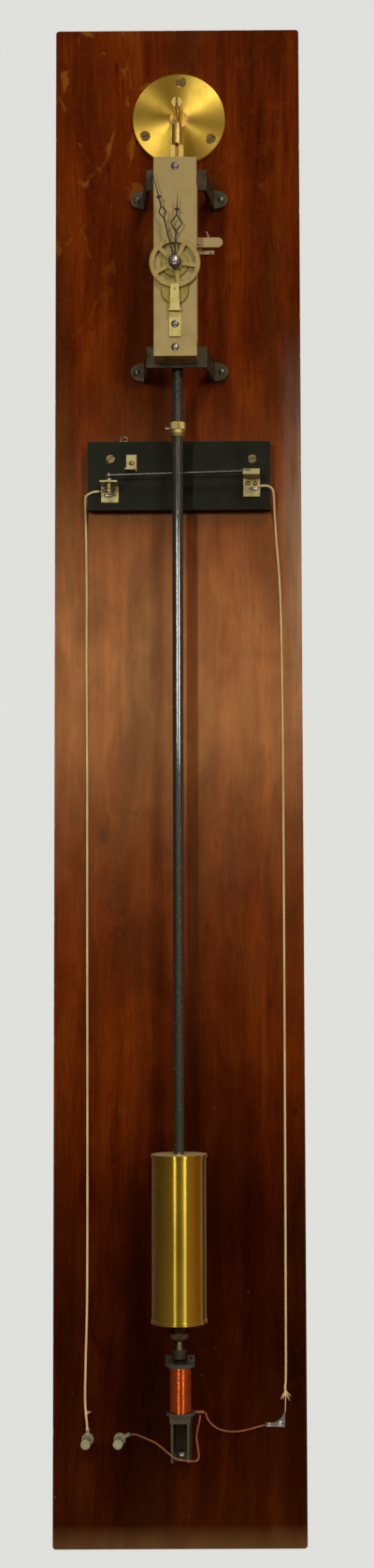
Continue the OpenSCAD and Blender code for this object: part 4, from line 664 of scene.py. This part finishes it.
def blob(name, centre, size, seed):
    """A lump of solder: a ball drawn out to size and dented by noise."""
    bm = bmesh.new()
    bmesh.ops.create_icosphere(bm, subdivisions=4, radius=1.0)
    shift = seed * SEED_SHIFT
    for v in bm.verts:
        swell = 1
        for depth, scale in (LARGE_DENT, SMALL_DENT):
            swell += depth * noise.noise(v.co * scale + shift)
        v.co = Vector((v.co.x * size[0], v.co.y * size[1], v.co.z * size[2])) * swell * MM + at(*centre)
    for face in bm.faces:
        face.smooth = True
    new_piece(name, bm, "solder")


def strands(name, start, along, count, length, spread, thick, seed):
    """Loose threads that part from one point, each a thin tube that tapers and curls."""
    rng = random.Random(seed)
    bm = bmesh.new()
    along = Vector(along).normalized()
    for _ in range(count):
        turn = Vector([rng.uniform(-1, 1), rng.uniform(-0.4, 0.4), rng.uniform(-1, 1)])
        aim = (along + spread * turn).normalized()
        curl = Vector([rng.uniform(-1, 1), rng.uniform(-0.5, 0.5), rng.uniform(-1, 1)]) * length * CURL
        far = length * rng.uniform(0.6, 1.0)
        points = [at(*start) + (aim * far * t + curl * t * t) * MM for t in (0, 0.25, 0.5, 0.75, 1)]
        add_tube(bm, smooth_path(points, steps=4), lambda s: thick / 2 * MM * (1 - TAPER * s), sides=6)
    new_piece(name, bm, "cream_insulation")


def wire(name, points, diameter):
    bm = bmesh.new()
    add_tube(bm, smooth_path([at(*p) for p in points], steps=6), diameter / 2 * MM, sides=10)
    new_piece(name, bm, "solder")


# The wire ends at the contact post and at the strip's block. A lump's centre, half sizes and seed; a tuft's
# start, direction, number of threads, length, spread, thickness and seed.
blob("left_solder", (-63.0, 15.9, 248.9), (3.6, 1.2, 1.7), 1)
blob("right_solder", (68.6, 16.0, 254.4), (3.4, 1.2, 1.5), 2)
strands("left_wire_fray", (-67.2, 16.4, 251.6), (1, 0, -0.3), 7, 3.4, 0.6, 0.34, 3)
strands("left_wire_wisps", (-83.4, 13.4, 248.4), (-0.5, 0, 0.9), 3, 3.0, 0.7, 0.26, 4)
strands("right_wire_fray", (72.6, 16.5, 256.0), (-1, 0, -0.3), 8, 3.2, 0.7, 0.34, 5)
strands("right_wire_wisps", (74.5, 16.8, 255.6), (0.2, 0, -1), 3, 3.0, 0.6, 0.26, 6)
# The frayed end above the soldered joint at the right, and the hook of thread on the left wire
strands("right_end_left_tuft", (93.4, 1.9, -552), (-0.30, 0, -1), 9, 8.5, 0.14, 0.7, 7)
strands("right_end_right_tuft", (93.7, 1.9, -552), (0.50, 0, -1), 9, 9.0, 0.14, 0.7, 8)
strands("left_end_hook", (-82.9, 2.6, -572.5), (0.55, 0, 0.5), 4, 5.0, 0.3, 0.7, 9)
# A small wire staple on the switch board's upper edge
wire("wire_loop", [(-51.6, 9, 299.2), (-51.9, 9, 301.2), (-50.8, 9, 303.8), (-48.4, 9, 304.6), (-46.2, 9, 303.4),
                   (-45.8, 9, 301.2), (-47.2, 9.2, 300.2), (-48.8, 9.6, 300.6), (-49.4, 10, 299.3)], 0.7)


# Lights, world and floor

# Two lamps in front, a narrow one at the left and a wider one at the right, and the main one above at the
# right: name, place, width, height and power
LAMPS = [("left_lamp", (-0.81, -3.0, 0.56), 0.16, 0.56, 15.0),
         ("right_lamp", (1.57, -3.0, 0.56), 0.50, 0.56, 17.8),
         ("main_lamp", (1.35, -2.8, 3.05), 0.90, 0.90, 56.0)]
LAMP_AIM = (0, 0, 0.05)
# The room that the shiny surfaces mirror. 0 and 1 are behind the board, 0.25 is the left, 0.5 the room in
# front and 0.75 the right.
ROOM = [(0.0, (0.60, 0.59, 0.57)), (0.05, (0.17, 0.165, 0.155)), (0.13, (0.10, 0.095, 0.08)),
        (0.20, (0.040, 0.024, 0.010)), (0.32, (0.038, 0.020, 0.007)), (0.37, (0.065, 0.040, 0.014)),
        (0.52, (0.065, 0.042, 0.014)), (0.60, (0.12, 0.07, 0.03)), (0.65, (0.20, 0.10, 0.03)),
        (0.70, (0.16, 0.062, 0.018)), (0.77, (0.12, 0.047, 0.015)), (0.81, (0.19, 0.12, 0.07)),
        (0.84, (0.36, 0.29, 0.25)), (0.88, (0.23, 0.20, 0.19)), (1.0, (0.60, 0.59, 0.57))]
CEILING, CEILING_SHARE = (0.25, 0.24, 0.22), 0.6  # what they mirror from above
SOFT_LEVEL, SOFT_OVERHEAD = (0.030, 0.028, 0.025), (0.90, 0.885, 0.85)  # the diffuse light
BACKDROP = (0.745, 0.750, 0.722)
FLOOR_PLACE = (0, -0.05, -1.0)
FLOOR_LIT, FLOOR_SEEN = (0.70, 0.70, 0.69), (0.88, 0.88, 0.865)


def make_lamps():
    for name, place, width, height, power in LAMPS:
        data = bpy.data.lights.new(name, "AREA")
        data.shape = "ELLIPSE"
        data.size, data.size_y = width, height
        data.energy = power
        light = bpy.data.objects.new(name, data)
        scene.collection.objects.link(light)
        light.location = place
        light.rotation_mode = "QUATERNION"
        light.rotation_quaternion = (Vector(LAMP_AIM) - Vector(place)).to_track_quat("-Z", "Y")


def make_world():
    """A backdrop for the camera, a room for what mirrors it, and diffuse light from above."""
    world = bpy.data.worlds.new("studio")
    scene.world = world
    world.use_nodes = True
    net = Nodes(world.node_tree)
    direction = net.node("ShaderNodeSeparateXYZ")
    net.feed(direction.inputs[0], net.node("ShaderNodeTexCoord").outputs["Generated"])
    x, y, z = direction.outputs
    angle = net.math("ARCTAN2", x, net.times(y, -1.0))
    room = net.ramp(net.math("ADD", net.math("DIVIDE", angle, 2 * math.pi), 0.5), ROOM)
    upward = net.math("MAXIMUM", z, 0.0)
    mirrored = net.mix(net.times(upward, CEILING_SHARE), room, CEILING)
    soft = net.mix(upward, SOFT_LEVEL, SOFT_OVERHEAD)
    rays = net.node("ShaderNodeLightPath").outputs
    shiny = net.math("MAXIMUM", rays["Is Glossy Ray"], rays["Is Transmission Ray"])
    background = net.node("ShaderNodeBackground")
    net.feed(background.inputs[0], net.mix(rays["Is Camera Ray"], net.mix(shiny, soft, mirrored), BACKDROP))
    net.feed(net.node("ShaderNodeOutputWorld").inputs[0], background.outputs[0])


def make_floor():
    """A round floor. The camera sees it brighter than the rest of the scene does."""
    look = Look("floor", Roughness=0.8)
    seen = look.node("ShaderNodeLightPath").outputs["Is Camera Ray"]
    look.set(Base_Color=look.mix(seen, FLOOR_LIT, FLOOR_SEEN))
    bm = bmesh.new()
    bmesh.ops.create_circle(bm, cap_ends=True, radius=1.0, segments=96)
    floor = new_object("floor", bm, look.material)
    floor.location = FLOOR_PLACE


make_lamps()
make_world()
make_floor()
